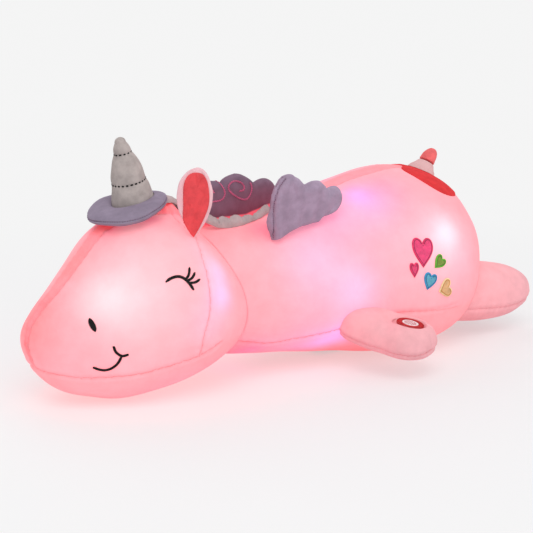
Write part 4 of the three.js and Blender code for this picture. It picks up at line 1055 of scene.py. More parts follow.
brimPlush = ringGrid("brimPlush", brimPoint, brimLook["around"], brimLook["section"])
lumpy(brimPlush, 0.3 * mm, 26 * mm, 9)
pushOut(brimPlush, headSkin, hornAxis)
lavenderPile, _, _, _ = pile("lavenderPlush", linear((143, 130, 148)),
                             {"napDark": 0.88, "napLight": 1.08, "napScale": 110})
brimSkin = skinOf(brimPlush)
finishPiece(dress(brimPlush, lavenderPile), "body", ["horn_brim"])
brimSeam = [tuple(brimPoint(math.radians(a), brimLook["seamAt"])) for a in range(0, 361, 3)]
brimStitches = runningStitch(brimSkin, layOn(brimSkin, smoothPath(brimSeam, 0.3 * mm)), 2.1 * mm, 1.2 * mm, 0.2 * mm)
finishPiece(layThreads("brimStitches", brimStitches, 0.42 * mm, wineThread), "body")
print("horn and brim ready")

# Ears: a cupped shell with a rolled rim and a lining that reaches the foot in a point. The two outlines are paths of
# pixels from the foot to the top, taken on the plane of the left ear, and the right ear is the same
earLook = {
    "pivot": (-126.55, 43.86, 133.99), "sink": 1.5, "thick": 5, "cup": 5.5, "turn": 41, "lean": {-1: 5, 1: 17},
    "rings": 84, "sides": 64, "rows": 90, "columns": 44, "cloth": 0.9, "creaseWidth": 0.85 * mm,
    "rim": 1.5, "rimAt": 0.9, "rimWidth": 0.16, "hollow": 1.4,
    "shell": {"nose": [(194.5, 238), (190.6, 232), (187, 225), (183.6, 217), (180.3, 209), (178.7, 200), (179.2, 190),
                       (181.3, 181), (185.3, 174), (190.3, 169.6), (196.8, 167.5)],
              "back": [(194.5, 238), (198.2, 233), (204, 225), (209.8, 215), (213.1, 206), (214.4, 198), (214.1, 189),
                       (211.8, 180.5), (207.8, 173.5), (202.8, 169), (196.8, 167.5)]},
    "lining": {"nose": [(194, 237), (190.5, 232), (187.5, 226), (185.4, 220.5), (185, 214), (185.1, 205),
                        (185.2, 195), (185.5, 187), (186.6, 180.5), (189.3, 175), (193.3, 172.2), (197.8, 171.6)],
               "back": [(194, 237), (196.8, 233), (201.6, 225), (206.8, 215), (210.3, 206), (211.7, 197),
                        (211.2, 188), (208.8, 179), (204.3, 173.4), (197.8, 171.6)]},
    "creases": [([(185.6, 221), (189.2, 213), (191.2, 204)], 1.0), ([(196.8, 173.5), (197.4, 178), (197.6, 183)], 0.8),
                ([(206.1, 176.5), (201.6, 180), (198.6, 186)], 1.0), ([(187.6, 190), (190.1, 186), (191.6, 180)], 0.5),
                ([(202.6, 189), (205.6, 193), (208.1, 198)], 0.5), ([(194.2, 222), (195.6, 214), (198.6, 207)], 0.5)],
}


def earPlane(side):  # its origin at the foot, across to the nose, up the ear, and outwards
    turn, tilt = math.radians(earLook["turn"]), math.radians(earLook["lean"][side])
    facing = Vector((-math.cos(turn), side * math.sin(turn), 0))
    rise = Vector((0, side * math.sin(tilt), math.cos(tilt)))
    across = facing.cross(rise).normalized() * -side
    pivot = Vector(earLook["pivot"])
    pivot.y *= side
    return (pivot - up * earLook["sink"]) * mm, across, rise, rise.cross(across) * -side


def earSides(look):  # both sides of an outline against the height on the ear's plane
    sides = []
    for key in ("nose", "back"):
        path = pathOnPlane(earPlane(-1), look[key])
        order = np.argsort(path[:, 1])
        sides.append((path[order, 1], path[order, 0]))
    low, high = max(s[0][0] for s in sides), min(s[0][-1] for s in sides)
    return low, high, lambda b: [float(np.interp(b, *s)) for s in sides]


earCreases = [(pathOnPlane(earPlane(-1), pixels), depth) for pixels, depth in earLook["creases"]]


def earShell(name, plane):
    origin, across, rise, front = plane
    low, high, sidesAt = earSides(earLook["shell"])
    widest = max(np.ptp(sidesAt(low + (high - low) * t)) for t in np.linspace(0, 1, 20)) / 2
    rings = []
    for i in range(earLook["rings"] + 1):
        b = low + (high - low) * (1 - math.cos(math.pi * i / earLook["rings"])) / 2
        nose, back = sidesAt(b)
        half = max(nose - back, 0) / 2
        share = half / widest
        ring = []
        for j in range(earLook["sides"]):
            angle = 2 * math.pi * j / earLook["sides"]
            out, facing = math.cos(angle), math.sin(angle)
            rim = earLook["rim"] * math.exp(-(((abs(out) - earLook["rimAt"]) / earLook["rimWidth"]) ** 2))
            rim *= 1.3 if out > 0 else 0.6
            hollow = earLook["hollow"] * (1 - out * out) * share if facing > 0 else 0
            depth = math.sqrt(share) * earLook["thick"] * facing - hollow
            depth += rim * share * (1 if facing > 0 else -0.3) * abs(facing) ** 0.5 + earLook["cup"] * share * out * out
            ring.append(origin + across * ((nose + back) / 2 + out * half) + rise * b + front * depth * mm)
        rings.append(ring)
    return ringMesh(name, rings)


def earLining(name, plane, skin):
    origin, across, rise, front = plane
    low, high, sidesAt = earSides(earLook["lining"])
    rows, columns = earLook["rows"], earLook["columns"]
    places, faces = [], []
    for i in range(rows + 1):
        b = low + (high - low) * (0.003 + 0.994 * (1 - math.cos(math.pi * i / rows)) / 2)
        nose, back = sidesAt(b)
        for j in range(columns + 1):
            a = back + (nose - back) * j / columns
            start = origin + across * a + rise * b + front * 16 * mm
            hit = skin.ray_cast(start, -front)[0] or skin.find_nearest(start)[0]
            thin = min(1, (0.15 + 6 * min(j, columns - j) / columns)) * min(1, (0.15 + 6 * min(i, rows - i) / rows))
            gaps = [np.min(np.hypot(line[:, 0] - a, line[:, 1] - b)) for line, _ in earCreases]
            crease = sum(depth * math.exp(-(gap / earLook["creaseWidth"]) ** 2)
                         for gap, (_, depth) in zip(gaps, earCreases))
            puffed = 0.35 * math.sin(a / mm * 0.5 + b / mm * 0.23) * thin
            places.append(hit + front * (0.3 + earLook["cloth"] * thin + puffed - 0.9 * crease * thin) * mm)
    base = len(places)
    places += [p - front * 0.6 * mm for p in places]
    at = lambda i, j: i * (columns + 1) + j
    for i in range(rows):
        for j in range(columns):
            quad = (at(i, j), at(i, j + 1), at(i + 1, j + 1), at(i + 1, j))
            faces += [quad, tuple(base + q for q in reversed(quad))]
    border = [at(0, j) for j in range(columns)] + [at(i, columns) for i in range(rows)]
    border += [at(rows, j) for j in range(columns, 0, -1)] + [at(i, 0) for i in range(rows, 0, -1)]
    faces += [(a, b, base + b, base + a) for a, b in zip(border, border[1:] + border[:1])]
    seam = [places[at(i, columns - 1)] for i in range(int(rows * 0.3), int(rows * 0.78))]
    return meshObject(name, places, faces), seam


palePile, _, _, _ = pile("palePlush", linear((238, 190, 196)), {"napDark": 0.95, "napLight": 1.03})
coralPile, _, coralShader, _ = pile("coralPlush", linear((216, 76, 80)),
                                    {"napDark": 0.85, "napLight": 1.1, "napScale": 140})
# The ear lining is given a painted glow
lightUp(coralShader, (0.5, 0.04, 0.05, 1), 0.22)
for sideName, side in (("left", -1), ("right", 1)):
    plane = earPlane(side)
    shell = earShell("ear" + sideName.title(), plane)
    pushOut(shell, headSkin, plane[2])
    lumpy(shell, 0.2 * mm, 18 * mm, 30 + side)
    shellSkin = skinOf(shell)
    lining, edge = earLining("earLining" + sideName.title(), plane, shellSkin)
    pushOut(lining, headSkin, plane[3])
    edge = smoothPath([tuple(p) for p in edge], 0.4 * mm)
    stitches = runningStitch(skinOf(lining), edge, 2.3 * mm, 1.3 * mm, 0.3 * mm)
    sewn = layThreads("earStitches" + sideName.title(), stitches, 0.4 * mm, coralThread)
    body = "ear_l" if side < 0 else "ear_r"
    bend = (tuple(plane[0] - plane[2] * mm), tuple(plane[0] + plane[2] * 15 * mm))
    finishPiece(dress(shell, palePile), body, ["ear_" + sideName], bend)
    finishPiece(dress(lining, coralPile), body, ["ear_lining_" + sideName], bend)
    finishPiece(sewn, body, (), bend)
print("ears ready")


# Flat stuffed pieces: the outline is a cloud of round lobes, and the filling thins out to the seam round it
def cloudEdge(lobes, polygon, step=0.8):
    circles = [(np.array(centre), radius) for centre, radius in lobes]

    def inPolygon(p):
        inside = False
        for (ax, ay), (bx, by) in zip(polygon, polygon[1:] + polygon[:1]):
            if (ay > p[1]) != (by > p[1]) and p[0] < (bx - ax) * (p[1] - ay) / (by - ay) + ax:
                inside = not inside
        return inside

    edge = []
    for k, (centre, radius) in enumerate(circles):
        for a in np.arange(0, 2 * math.pi, step / radius):
            p = centre + radius * np.array([math.cos(a), math.sin(a)])
            if not inPolygon(p) and all(np.linalg.norm(p - c) > r for m, (c, r) in enumerate(circles) if m != k):
                edge.append(tuple(p))
    for (ax, ay), (bx, by) in zip(polygon, polygon[1:] + polygon[:1]):
        count = max(int(math.hypot(bx - ax, by - ay) / step), 1)
        for i in range(count):
            p = np.array([ax + (bx - ax) * i / count, ay + (by - ay) * i / count])
            if all(np.linalg.norm(p - c) > r for c, r in circles):
                edge.append(tuple(p))
    return edge


def nudgesOn(plane, rows):  # rows are [pixel, pixel]: the first one's place on the plane moves to the second one's
    spots = [(onPlane(plane, before), onPlane(plane, after)) for before, after in rows]
    return [(a, b, c - a, d - b) for (a, b), (c, d) in spots]


def nudged(nudges, a, b, reach):
    if not nudges:
        return 0, 0
    rows = np.array(nudges)
    weights = np.exp(-(((rows[:, 0] - a) ** 2 + (rows[:, 1] - b) ** 2) / reach ** 2))
    return rows[:, 2:].T @ weights / (weights.sum() + 0.25)


def pillow(name, node, plane, edge, look, nudges=()):  # plane is (origin, u, v, n), in metres
    origin, u, v, n = plane
    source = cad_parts[node]
    obj = addObject(name, source.data.copy())
    weld = bmesh.new()
    weld.from_mesh(obj.data)
    bmesh.ops.remove_doubles(weld, verts=weld.verts, dist=0.01 * mm)
    weld.to_mesh(obj.data)
    weld.free()
    mesh = obj.modifiers.new("voxels", "REMESH")
    mesh.mode, mesh.voxel_size = "VOXEL", look["voxel"]
    plainMesh(obj)
    lookup = lookupOf([Vector((a, b, 0)) * mm for a, b in edge])
    places = pointsOf(obj)
    for i, p in enumerate(places):
        off = Vector(p) - origin
        a, b, w = off.dot(u), off.dot(v), off.dot(n)
        reach = lookup.find(Vector((a, b, 0)))[2]
        share = min(reach / look["roll"], 1)
        half = look["rim"] + (look["thick"] / 2 - look["rim"]) * math.sqrt(1 - (1 - share) ** 2)
        half += look["wave"] * math.sin(a / look["waveLength"] * 2 * math.pi + 0.6 * math.sin(b / (9 * mm))) * share
        shiftA, shiftB = nudged(nudges, a, b, look["nudgeReach"])
        a, b = a + shiftA, b + shiftB
        places[i] = np.array(origin + u * a + v * b + n * half * max(min(w / look["flatHalf"], 1), -1))
    setPoints(obj, places)
    relax = obj.modifiers.new("relax", "SMOOTH")
    relax.factor, relax.iterations = 0.5, look["smooth"]
    plainMesh(obj)
    return subdivided(obj, 1)


pillowLook = {"voxel": 1.3 * mm, "roll": 7 * mm, "rim": 0.9 * mm, "thick": 12.5 * mm, "flatHalf": 3.4 * mm,
              "wave": 0.35 * mm, "waveLength": 13 * mm, "smooth": 4, "nudgeReach": 6 * mm}
maneLook = {"frontFoot": [(-120, 151), (-108, 145), (-101, 141), (-96, 138), (-89, 133), (-84, 130.5)],
            "start": -116.5, "seat": 130.43, "length": 104,
            "lobes": [[0.125, 0.096, 0.125], [0.337, 0.163, 0.1875], [0.615, 0.192, 0.192], [0.865, 0.183, 0.135]],
            "swirls": [[(221.5, 182.5), (223.6, 186), (225.8, 190.5), (226.2, 195), (224, 199), (219.5, 201.2),
                        (213, 202), (206, 201)],
                       [(212, 190), (214, 191), (215.5, 193.5)],
                       [(252.2, 183.5), (253.3, 188), (252, 194), (249.2, 198.2), (245.6, 199.8), (240.6, 198.4),
                        (235, 195.2),
                        (231.2, 191.5), (230, 187.5), (231.6, 184), (235, 181.8), (239, 181.6), (243, 183.4),
                        (245.3, 187), (244.6, 190.4), (241, 191.4)]],
            "nudges": [[(206, 181), (204, 178.5)], [(212, 183.5), (211, 180.4)], [(220, 187), (218.5, 181)],
                       [(225, 182.5), (221.5, 178.8)],
                       [(230, 178), (226.5, 175)], [(240, 176.5), (236, 172.8)], [(250, 180.5), (247.5, 178.4)],
                       [(253.5, 184.5), (252.5, 181.1)], [(258, 182.5), (257.5, 179.6)], [(264, 181.3), (263, 177.2)],
                       [(270, 184), (269.5, 179.8)], [(274, 188.5), (274, 185)], [(212, 205), (212, 205)],
                       [(225, 205), (225, 205)],
                       [(240, 203), (240, 203)], [(255, 200), (255, 200)], [(268, 197), (268, 197)]]}
manePlane = (Vector((0, 0, 0)), Vector((1, 0, 0)), Vector((0, 0, 1)), Vector((0, 1, 0)))
maneLobes = [((maneLook["start"] + a * maneLook["length"], maneLook["seat"] + r * maneLook["length"]),
              size * maneLook["length"])
             for a, r, size in maneLook["lobes"]]
maneEdge = []
for k, ((x, z), radius) in enumerate(maneLobes):  # arcs above, and the two upright ends
    for a in np.arange(0, math.pi, 0.8 / radius):
        p = (x + radius * math.cos(a), z + radius * math.sin(a))
        if all(math.hypot(p[0] - c[0], p[1] - c[1]) > r and not (abs(p[0] - c[0]) < r and p[1] < c[1])
               for m, (c, r) in enumerate(maneLobes) if m != k):
            maneEdge.append(p)
firstLobe, lastLobe = maneLobes[0], maneLobes[-1]
for drop in np.arange(0, 60, 0.8):
    maneEdge.append((firstLobe[0][0] - firstLobe[1], firstLobe[0][1] - drop))
    maneEdge.append((lastLobe[0][0] + lastLobe[1], lastLobe[0][1] - drop))


# The lavender of the mane turns maroon low at the back, where the light of the body comes through, and its foot glows
maneGlow = {"maroon": (142, 50, 72), "coral": (1.0, 0.10, 0.13, 1), "strength": 0.75, "footAt": 138.6 * mm,
            "rise": (0.26, 151.2 * mm), "sharp": 700, "low": (-26.0, 4.36), "lowShare": 0.92, "back": (22.0, 1.95),
            "backShare": (0.7, 0.3)}


def maneTint(tree, place, colour):
    x, _, z = partsOf(tree, place)
    low = mathNode(tree, "MULTIPLY_ADD", z, *maneGlow["low"], clamp=True)
    back = mathNode(tree, "MULTIPLY_ADD", x, *maneGlow["back"], clamp=True)
    share = mathNode(tree, "MULTIPLY", mathNode(tree, "MULTIPLY", low, maneGlow["lowShare"]),
                     mathNode(tree, "MULTIPLY_ADD", back, *maneGlow["backShare"]))
    return mixColours(tree, share, colour, linear(maneGlow["maroon"]))


manePile, maneTree, maneShader, manePlace = pile("manePlush", linear((123, 97, 115)),
                                                 {"napDark": 0.84, "napLight": 1.12, "napScale": 120}, maneTint)
maneX, _, maneZ = partsOf(maneTree, manePlace)
footLine = mathNode(maneTree, "MULTIPLY_ADD", maneX, *maneGlow["rise"])
footLine = mathNode(maneTree, "MAXIMUM", maneGlow["footAt"], footLine)
footShare = mathNode(maneTree, "MULTIPLY", mathNode(maneTree, "SUBTRACT", footLine, maneZ), maneGlow["sharp"],
                     clamp=True)
lightUp(maneShader, mixColours(maneTree, footShare, (0, 0, 0, 1), maneGlow["coral"]), maneGlow["strength"])
mane = pillow("manePlushPiece", "mane", manePlane, maneEdge, {**pillowLook, "roll": 6 * mm},
              nudgesOn(manePlane, maneLook["nudges"]))
bodySkins = [headSkin, torsoSkin]
for skin in bodySkins:
    pushOut(mane, skin, up)
places = pointsOf(mane)
footZ = np.interp(places[:, 0] / mm, *zip(*maneLook["frontFoot"])) * mm
places[:, 2] = np.where(places[:, 0] < maneLook["frontFoot"][-1][0] * mm, np.maximum(places[:, 2], footZ), places[:, 2])
setPoints(mane, places)
maneSkin = skinOf(mane)
finishPiece(dress(mane, manePile), "body", ["mane"])
swirlStitches = []
frontPlane = (Vector((0, -8.5 * mm, 0)), *manePlane[1:])
for swirl in maneLook["swirls"]:
    flat = pathOnPlane(frontPlane, swirl, 0.3 * mm)
    for side in (-1, 1):
        hits = [maneSkin.ray_cast(Vector((a, side * 0.03, b)), Vector((0, -side, 0)))[0] for a, b in flat]
        line = np.array([tuple(p) for p in hits if p is not None])
        for k, (p, t, n) in enumerate(frameOn(maneSkin, line)[::3]):  # a chain stitch: strands left and right by turns
            turn = 1 if k % 2 else -1
            across = n.cross(t)
            way = (t + across * 0.4 * turn).normalized()
            swirlStitches.append((p + n * 0.3 * mm + across * 0.3 * mm * turn, way, n, 1.9 * mm))
finishPiece(layThreads("maneSwirls", swirlStitches, 0.45 * mm, swirlThread), "body")

# Wings
wingLook = {
    "pivot": (-46.03, 42.8, 120.1), "sink": 0.5, "length": 75, "lean": {"left": 14, "right": 58},
    "lobes": [[0.147, 0.545, 0.24], [0.487, 0.45, 0.227], [0.72, 0.385, 0.2]],
    "root": [(-0.025, 0), (-0.09, 0.24), (-0.088, 0.5), (0.72, 0.36), (0.72, 0.165), (0.36, 0.11), (0.08, 0)],
    "nudges": [[(275, 187), (274.5, 187)], [(281, 180), (279.5, 179.3)], [(288, 177), (284.5, 175)],
               [(295, 176), (290, 172.8)],
               [(301, 178), (294.6, 177.6)], [(303.5, 184), (298.6, 182.2)], [(304.5, 188), (300.6, 186.4)],
               [(309, 183.5), (307.8, 184)],
               [(316, 182), (316.5, 178.6)], [(321, 184), (320.8, 183)], [(323.8, 190), (323.2, 193)],
               [(328, 188.5), (328.3, 188.6)],
               [(334, 188), (334.3, 184.5)], [(339, 191), (338.8, 188.5)], [(342.5, 198), (341.2, 196)],
               [(342.5, 205), (339.5, 204)],
               [(340, 211), (336, 210)], [(334, 216.5), (328, 213.6)], [(326, 220), (319, 216.6)],
               [(310, 225), (309, 222.2)],
               [(300, 229.5), (299, 226.4)], [(290, 235), (289, 230.8)], [(280, 239.5), (280.5, 237)],
               [(272, 240.5), (273, 240)], [(269, 222), (267.2, 222)], [(271, 200), (270, 202)]],
    "seam": [(271.6, 238), (270.9, 228), (271, 215), (272.3, 203), (275, 192), (279, 184), (284.5, 177)],
}
wingSize = wingLook["length"]
wingEdge = cloudEdge([((a * wingSize, b * wingSize), r * wingSize) for a, b, r in wingLook["lobes"]],
                     [(a * wingSize, b * wingSize) for a, b in wingLook["root"]])
wingPile, _, _, _ = pile("wingPlush", linear((163, 143, 164)), {"napDark": 0.84, "napLight": 1.12, "napScale": 100})


def wingPlane(sideName, side):
    tilt = math.radians(wingLook["lean"][sideName])
    pivot = Vector((wingLook["pivot"][0], side * wingLook["pivot"][1], wingLook["pivot"][2] - wingLook["sink"])) * mm
    rise = Vector((0, side * math.sin(tilt), math.cos(tilt)))
    return pivot, Vector((1, 0, 0)), rise, Vector((0, side * math.cos(tilt), -math.sin(tilt)))


wingNudges = nudgesOn(wingPlane("left", -1), wingLook["nudges"])
wingSeam = pathOnPlane(wingPlane("left", -1), wingLook["seam"], 0.3 * mm)
for sideName, side, body in (("left", -1, "wing_l"), ("right", 1, "wing_r")):
    plane = wingPlane(sideName, side)
    pivot, along, rise, face = plane
    wing = pillow("wing" + sideName.title(), "wing_" + sideName, plane, wingEdge,
                  {**pillowLook, "wave": 0.7 * mm, "waveLength": 15 * mm, "thick": 12 * mm}, wingNudges)
    pushOut(wing, torsoSkin, rise)
    wingSkin = skinOf(wing)
    bend = (tuple(pivot - rise * 0.5 * mm), tuple(pivot + rise * 7.5 * mm))
    stitches, lines = [], []
    for way in (face, -face):
        line = [wingSkin.ray_cast(pivot + along * a + rise * b + way * 20 * mm, -way)[0] for a, b in wingSeam]
        lines.append(np.array([tuple(p) for p in line if p is not None]))
    sewSeams(wing, lines, {**seamLook, "dip": 1.2 * mm, "dipWidth": 1.1 * mm, "pucker": 0.08 * mm,
                           "puckerPitch": 4 * mm})
    for line in lines:
        stitches += runningStitch(skinOf(wing), layOn(skinOf(wing), line), 2.0 * mm, 1.3 * mm, 0.1 * mm)
    finishPiece(dress(wing, wingPile), body, ["wing_" + sideName], bend)
    sewn = layThreads("wingStitches" + sideName.title(), stitches, 0.42 * mm, wineThread)
    finishPiece(sewn, body, (), bend)
print("mane and wings ready")

# Ruffles: scalloped strips sewn along the foot of the mane. Rows of [x, z] in mm for the two edges
ruffleLook = {
    "foot": [(-129, 156), (-122, 155.5), (-114, 151), (-107, 145.5), (-101, 142), (-96, 139.2), (-89, 134.3),
             (-81, 131.2), (-71, 130), (-61, 130.6), (-50, 132.3), (-40, 134.3), (-32, 136.8), (-26, 138.2)],
    "valleys": [(-129, 157), (-118, 156), (-106, 148.5), (-94.3, 141.5), (-80.9, 135.8), (-69.2, 134.4),
                (-57.4, 134.9), (-45.5, 135.5)],
    "arcs": [3.8, 3.2, 3.0, 3.2, 3.8, 4.8, 2.4], "end": [(-45.5, 135.5), (-40.2, 138.2), (-36.5, 141.2), (-33, 143),
                                                         (-26, 143.2)],
    "off": [(-129, 6.5), (-112, 7.5), (-96, 10), (-88, 14.5), (-60, 15.3), (-40, 13.9), (-26, 11)], "lean": 4.0,
    "pleat": 0.7, "pleatPitch": 11.8, "flutter": 0.35, "belly": 1.6, "columns": 280, "rows": 14, "thick": 1.6 * mm,
}
rufflePile, _, _, _ = pile("rufflePlush", linear((192, 172, 172)), {"napDark": 0.86, "napLight": 1.06})


def ruffleTop(x):
    rows = ruffleLook["valleys"]
    for ((low, zLow), (high, zHigh)), arc in zip(zip(rows, rows[1:]), ruffleLook["arcs"]):
        if x <= high:
            u = max((x - low) / (high - low), 0)
            return zLow + (zHigh - zLow) * u + arc * math.sqrt(max(1 - (2 * u - 1) ** 2, 0))
    return float(np.interp(x, *zip(*ruffleLook["end"])))


def ruffleStrip(name, side):
    places, faces = [], []
    columns, rows = ruffleLook["columns"], ruffleLook["rows"]
    foot, off = (smoothPath([(*row, 0) for row in ruffleLook[key]], 0.5) for key in ("foot", "off"))
    start, end = ruffleLook["foot"][0][0], ruffleLook["foot"][-1][0]
    for i in range(columns + 1):
        x = start + (end - start) * i / columns
        low, high = float(np.interp(x, foot[:, 0], foot[:, 1])), ruffleTop(x)
        beside = float(np.interp(x, off[:, 0], off[:, 1]))
        pleat = ruffleLook["pleat"] * math.sin(x * 2 * math.pi / ruffleLook["pleatPitch"] + 1.2)
        pleat += ruffleLook["flutter"] * math.sin(x * 1.7)
        for j in range(rows + 1):
            lift = j / rows
            belly = ruffleLook["belly"] * math.sin(math.pi * lift)
            y = side * (beside - ruffleLook["lean"] * lift + belly + pleat * lift)
            hits = [skin.ray_cast(Vector((x * mm, y * mm, 0.4)), -up)[0] for skin in bodySkins]
            ground = max((h.z for h in hits if h is not None), default=0)
            z = (low + (high - low) * lift) * mm
            places.append(Vector((x * mm, y * mm, max(z, ground + (0.2 + lift) * mm))))
    at = lambda i, j: i * (rows + 1) + j
    for i in range(columns):
        faces += [(at(i, j), at(i + 1, j), at(i + 1, j + 1), at(i, j + 1)) for j in range(rows)]
    strip = meshObject(name, places, faces)
    wall = strip.modifiers.new("thickness", "SOLIDIFY")
    wall.thickness, wall.offset = ruffleLook["thick"], 0
    soft = strip.modifiers.new("round", "BEVEL")
    soft.width, soft.segments, soft.limit_method = 0.45 * mm, 2, "ANGLE"
    return plainMesh(strip)


for sideName, side in (("left", -1), ("right", 1)):
    strip = ruffleStrip("ruffle" + sideName.title(), side)
    lumpy(strip, 0.25 * mm, 9 * mm, 50 + side)
    finishPiece(dress(strip, rufflePile), "body", ["ruffle_" + sideName])
print("ruffles ready")

# Patch on the rump, and the tail that stands on it
patchLook = {"centre": (146.893, 0, 158.56), "across": (0.92696, 0, -0.37517), "normal": (0.37517, 0, 0.92696),
             "length": 70, "width": 104, "thick": 1.1, "rings": 44, "sides": 150, "notch": 18, "notchWidth": 13,
             "front": -18, "frontSlope": 0.65}
tailLook = {
    "sunk": (-1, 0, -6.2),
    "foot": (153.085, 0, 157.805), "axis": (0.59645, 0, 0.80265), "across": (0.80265, 0, -0.59645),
    "pivot": (157.916, 0, 164.306),
    "length": 30, "halfWidth": 9.5, "halfThick": 8, "tipFrom": 0.5, "rings": 60, "sides": 56,
    "rows": [[0, 0], [0.01, 1.6], [0.2, 1.5], [0.3, 1.26], [0.4, 1.04], [0.5, 0.9], [0.62, 0.83], [0.76, 0.76],
             [0.88, 0.6], [0.96, 0.36], [1, 0]],
}


def onSkin(skin, place, normal, rise):  # a point dropped along the normal on the skin, and raised from it
    hit = skin.ray_cast(place + normal * 40 * mm, -normal)[0] or skin.find_nearest(place)[0]
    return hit + normal * rise


# A flat piece laid on a skin, with a rounded edge. Its outline is points (a, b) in metres
def sewnDisc(name, skin, centre, axes, outline, rings, thick, crown=0.0, roll=1.2 * mm, under=-0.6 * mm):
    across, beside, normal = axes
    middle = np.mean(outline, axis=0)

    def laid(p, rise):
        return onSkin(skin, centre + across * p[0] + beside * p[1], normal, rise)

    places, faces = [], []
    count = len(outline)
    reach = float(np.mean([np.linalg.norm(np.array(p) - middle) for p in outline]))
    for ringNumber in range(rings, 0, -1):
        share = ringNumber / rings
        inset = (1 - share) * reach
        rounded = math.sqrt(max(1 - (1 - min(inset / roll, 1)) ** 2, 0))
        rise = 0.15 * mm + thick * rounded + crown * (1 - share ** 2)
        places += [laid(middle + (np.array(p) - middle) * share, rise) for p in outline]
    places.append(laid(middle, thick + crown + 0.15 * mm))
    top = len(places) - 1
    at = lambda i, j: i * count + j % count
    for i in range(rings - 1):
        faces += [(at(i, j), at(i, j + 1), at(i + 1, j + 1), at(i + 1, j)) for j in range(count)]
    faces += [(at(rings - 1, j), at(rings - 1, j + 1), top) for j in range(count)]
    below = len(places)
    places += [laid(p, under) for p in outline]
    faces += [(below + j, below + (j + 1) % count, (j + 1) % count, j) for j in range(count)]
    places += [laid(middle + (np.array(p) - middle) * 0.5, under) for p in outline]
    places.append(laid(middle, under))
    inner = below + count
    faces += [(inner + j, inner + (j + 1) % count, below + (j + 1) % count, below + j) for j in range(count)]
    faces += [(inner + count, inner + (j + 1) % count, inner + j) for j in range(count)]
    return meshObject(name, places, faces)


patchCentre, patchNormal = Vector(patchLook["centre"]) * mm, Vector(patchLook["normal"])
patchAxes = (Vector(patchLook["across"]), Vector((0, 1, 0)), patchNormal)
patchOutline = []
for a in np.linspace(0, 2 * math.pi, patchLook["sides"], endpoint=False):
    along, beside = math.cos(a) * patchLook["length"] / 2, math.sin(a) * patchLook["width"] / 2
    along += patchLook["notch"] * math.exp(-((beside / patchLook["notchWidth"]) ** 2)) if along < 0 else 0
    front = patchLook["front"] + patchLook["frontSlope"] * min(beside, 12)
    patchOutline.append(((max(along, front + (along - front) * 0.08) if beside > 0 else along) * mm, beside * mm))
patch = sewnDisc("rumpPatch", torsoSkin, patchCentre, patchAxes, patchOutline, patchLook["rings"],
                 patchLook["thick"] * mm)
patchPile, _, patchShader, _ = pile("patchPlush", linear((212, 54, 56)),
                                    {"napDark": 0.85, "napLight": 1.1, "napScale": 120})
# The patch is given a painted glow, like the pile round it
lightUp(patchShader, (0.6, 0.03, 0.045, 1), 0.16)
patchSkin = skinOf(patch)
finishPiece(dress(patch, patchPile), "body", ["rump_patch"])


def tailPart(name, low, high, pointed):
    foot, sunk, axis, across = (Vector(tailLook[key]) for key in ("foot", "sunk", "axis", "across"))
    foot += sunk
    rings = []
    count = tailLook["rings"]
    table = [rowAt(tailLook["rows"], k / 200) for k in range(201)]
    for i in range(count + 1):
        share = low + (high - low) * i / count
        half = float(np.interp(share, [r[0] for r in table], [r[1] for r in table]))
        half = max(half, 0) * (1 - 0.1 * math.exp(-((share - tailLook["tipFrom"]) / 0.035) ** 2))
        if i in (0, count):
            rings.append([(foot + axis * share * tailLook["length"]) * mm] * tailLook["sides"])
            continue
        cap = min(1, 12 * i / count, 1 if pointed else 12 * (count - i) / count)
        cap = math.sin(cap * math.pi / 2)
        ring = []
        for j in range(tailLook["sides"]):
            a = 2 * math.pi * j / tailLook["sides"]
            ring.append((foot + axis * share * tailLook["length"]
                         + across * tailLook["halfThick"] * half * cap * math.sin(a)
                         + sideways * tailLook["halfWidth"] * half * cap * math.cos(a)) * mm)
        rings.append(ring)
    return ringMesh(name, rings)


tailPile, _, _, _ = pile("tailBasePlush", linear((220, 176, 176)), {"napDark": 0.94, "napLight": 1.04})
tipPile, _, _, _ = pile("tailTipPlush", linear((238, 112, 112)), {"napDark": 0.85, "napLight": 1.12, "napScale": 120})
tailAxisWay = Vector(tailLook["axis"])
tailPivot = Vector(tailLook["pivot"]) * mm
tailBend = (tuple(tailPivot - tailAxisWay * 6 * mm), tuple(tailPivot + tailAxisWay * 4 * mm))
tailBase = tailPart("tailBase", 0, tailLook["tipFrom"] + 0.01, False)
tailTip = tailPart("tailTip", tailLook["tipFrom"] - 0.01, 1, True)
for piece, seed in ((tailBase, 61), (tailTip, 62)):
    lumpy(piece, 0.25 * mm, 14 * mm, seed)
pushOut(tailBase, patchSkin, patchNormal)
pushOut(tailBase, torsoSkin, patchNormal)
finishPiece(dress(tailBase, tailPile), "tail_body", ["tail"], blendTo=tailBend)
finishPiece(dress(tailTip, tipPile), "tail_body", ["tail_tip"])
print("patch and tail ready")

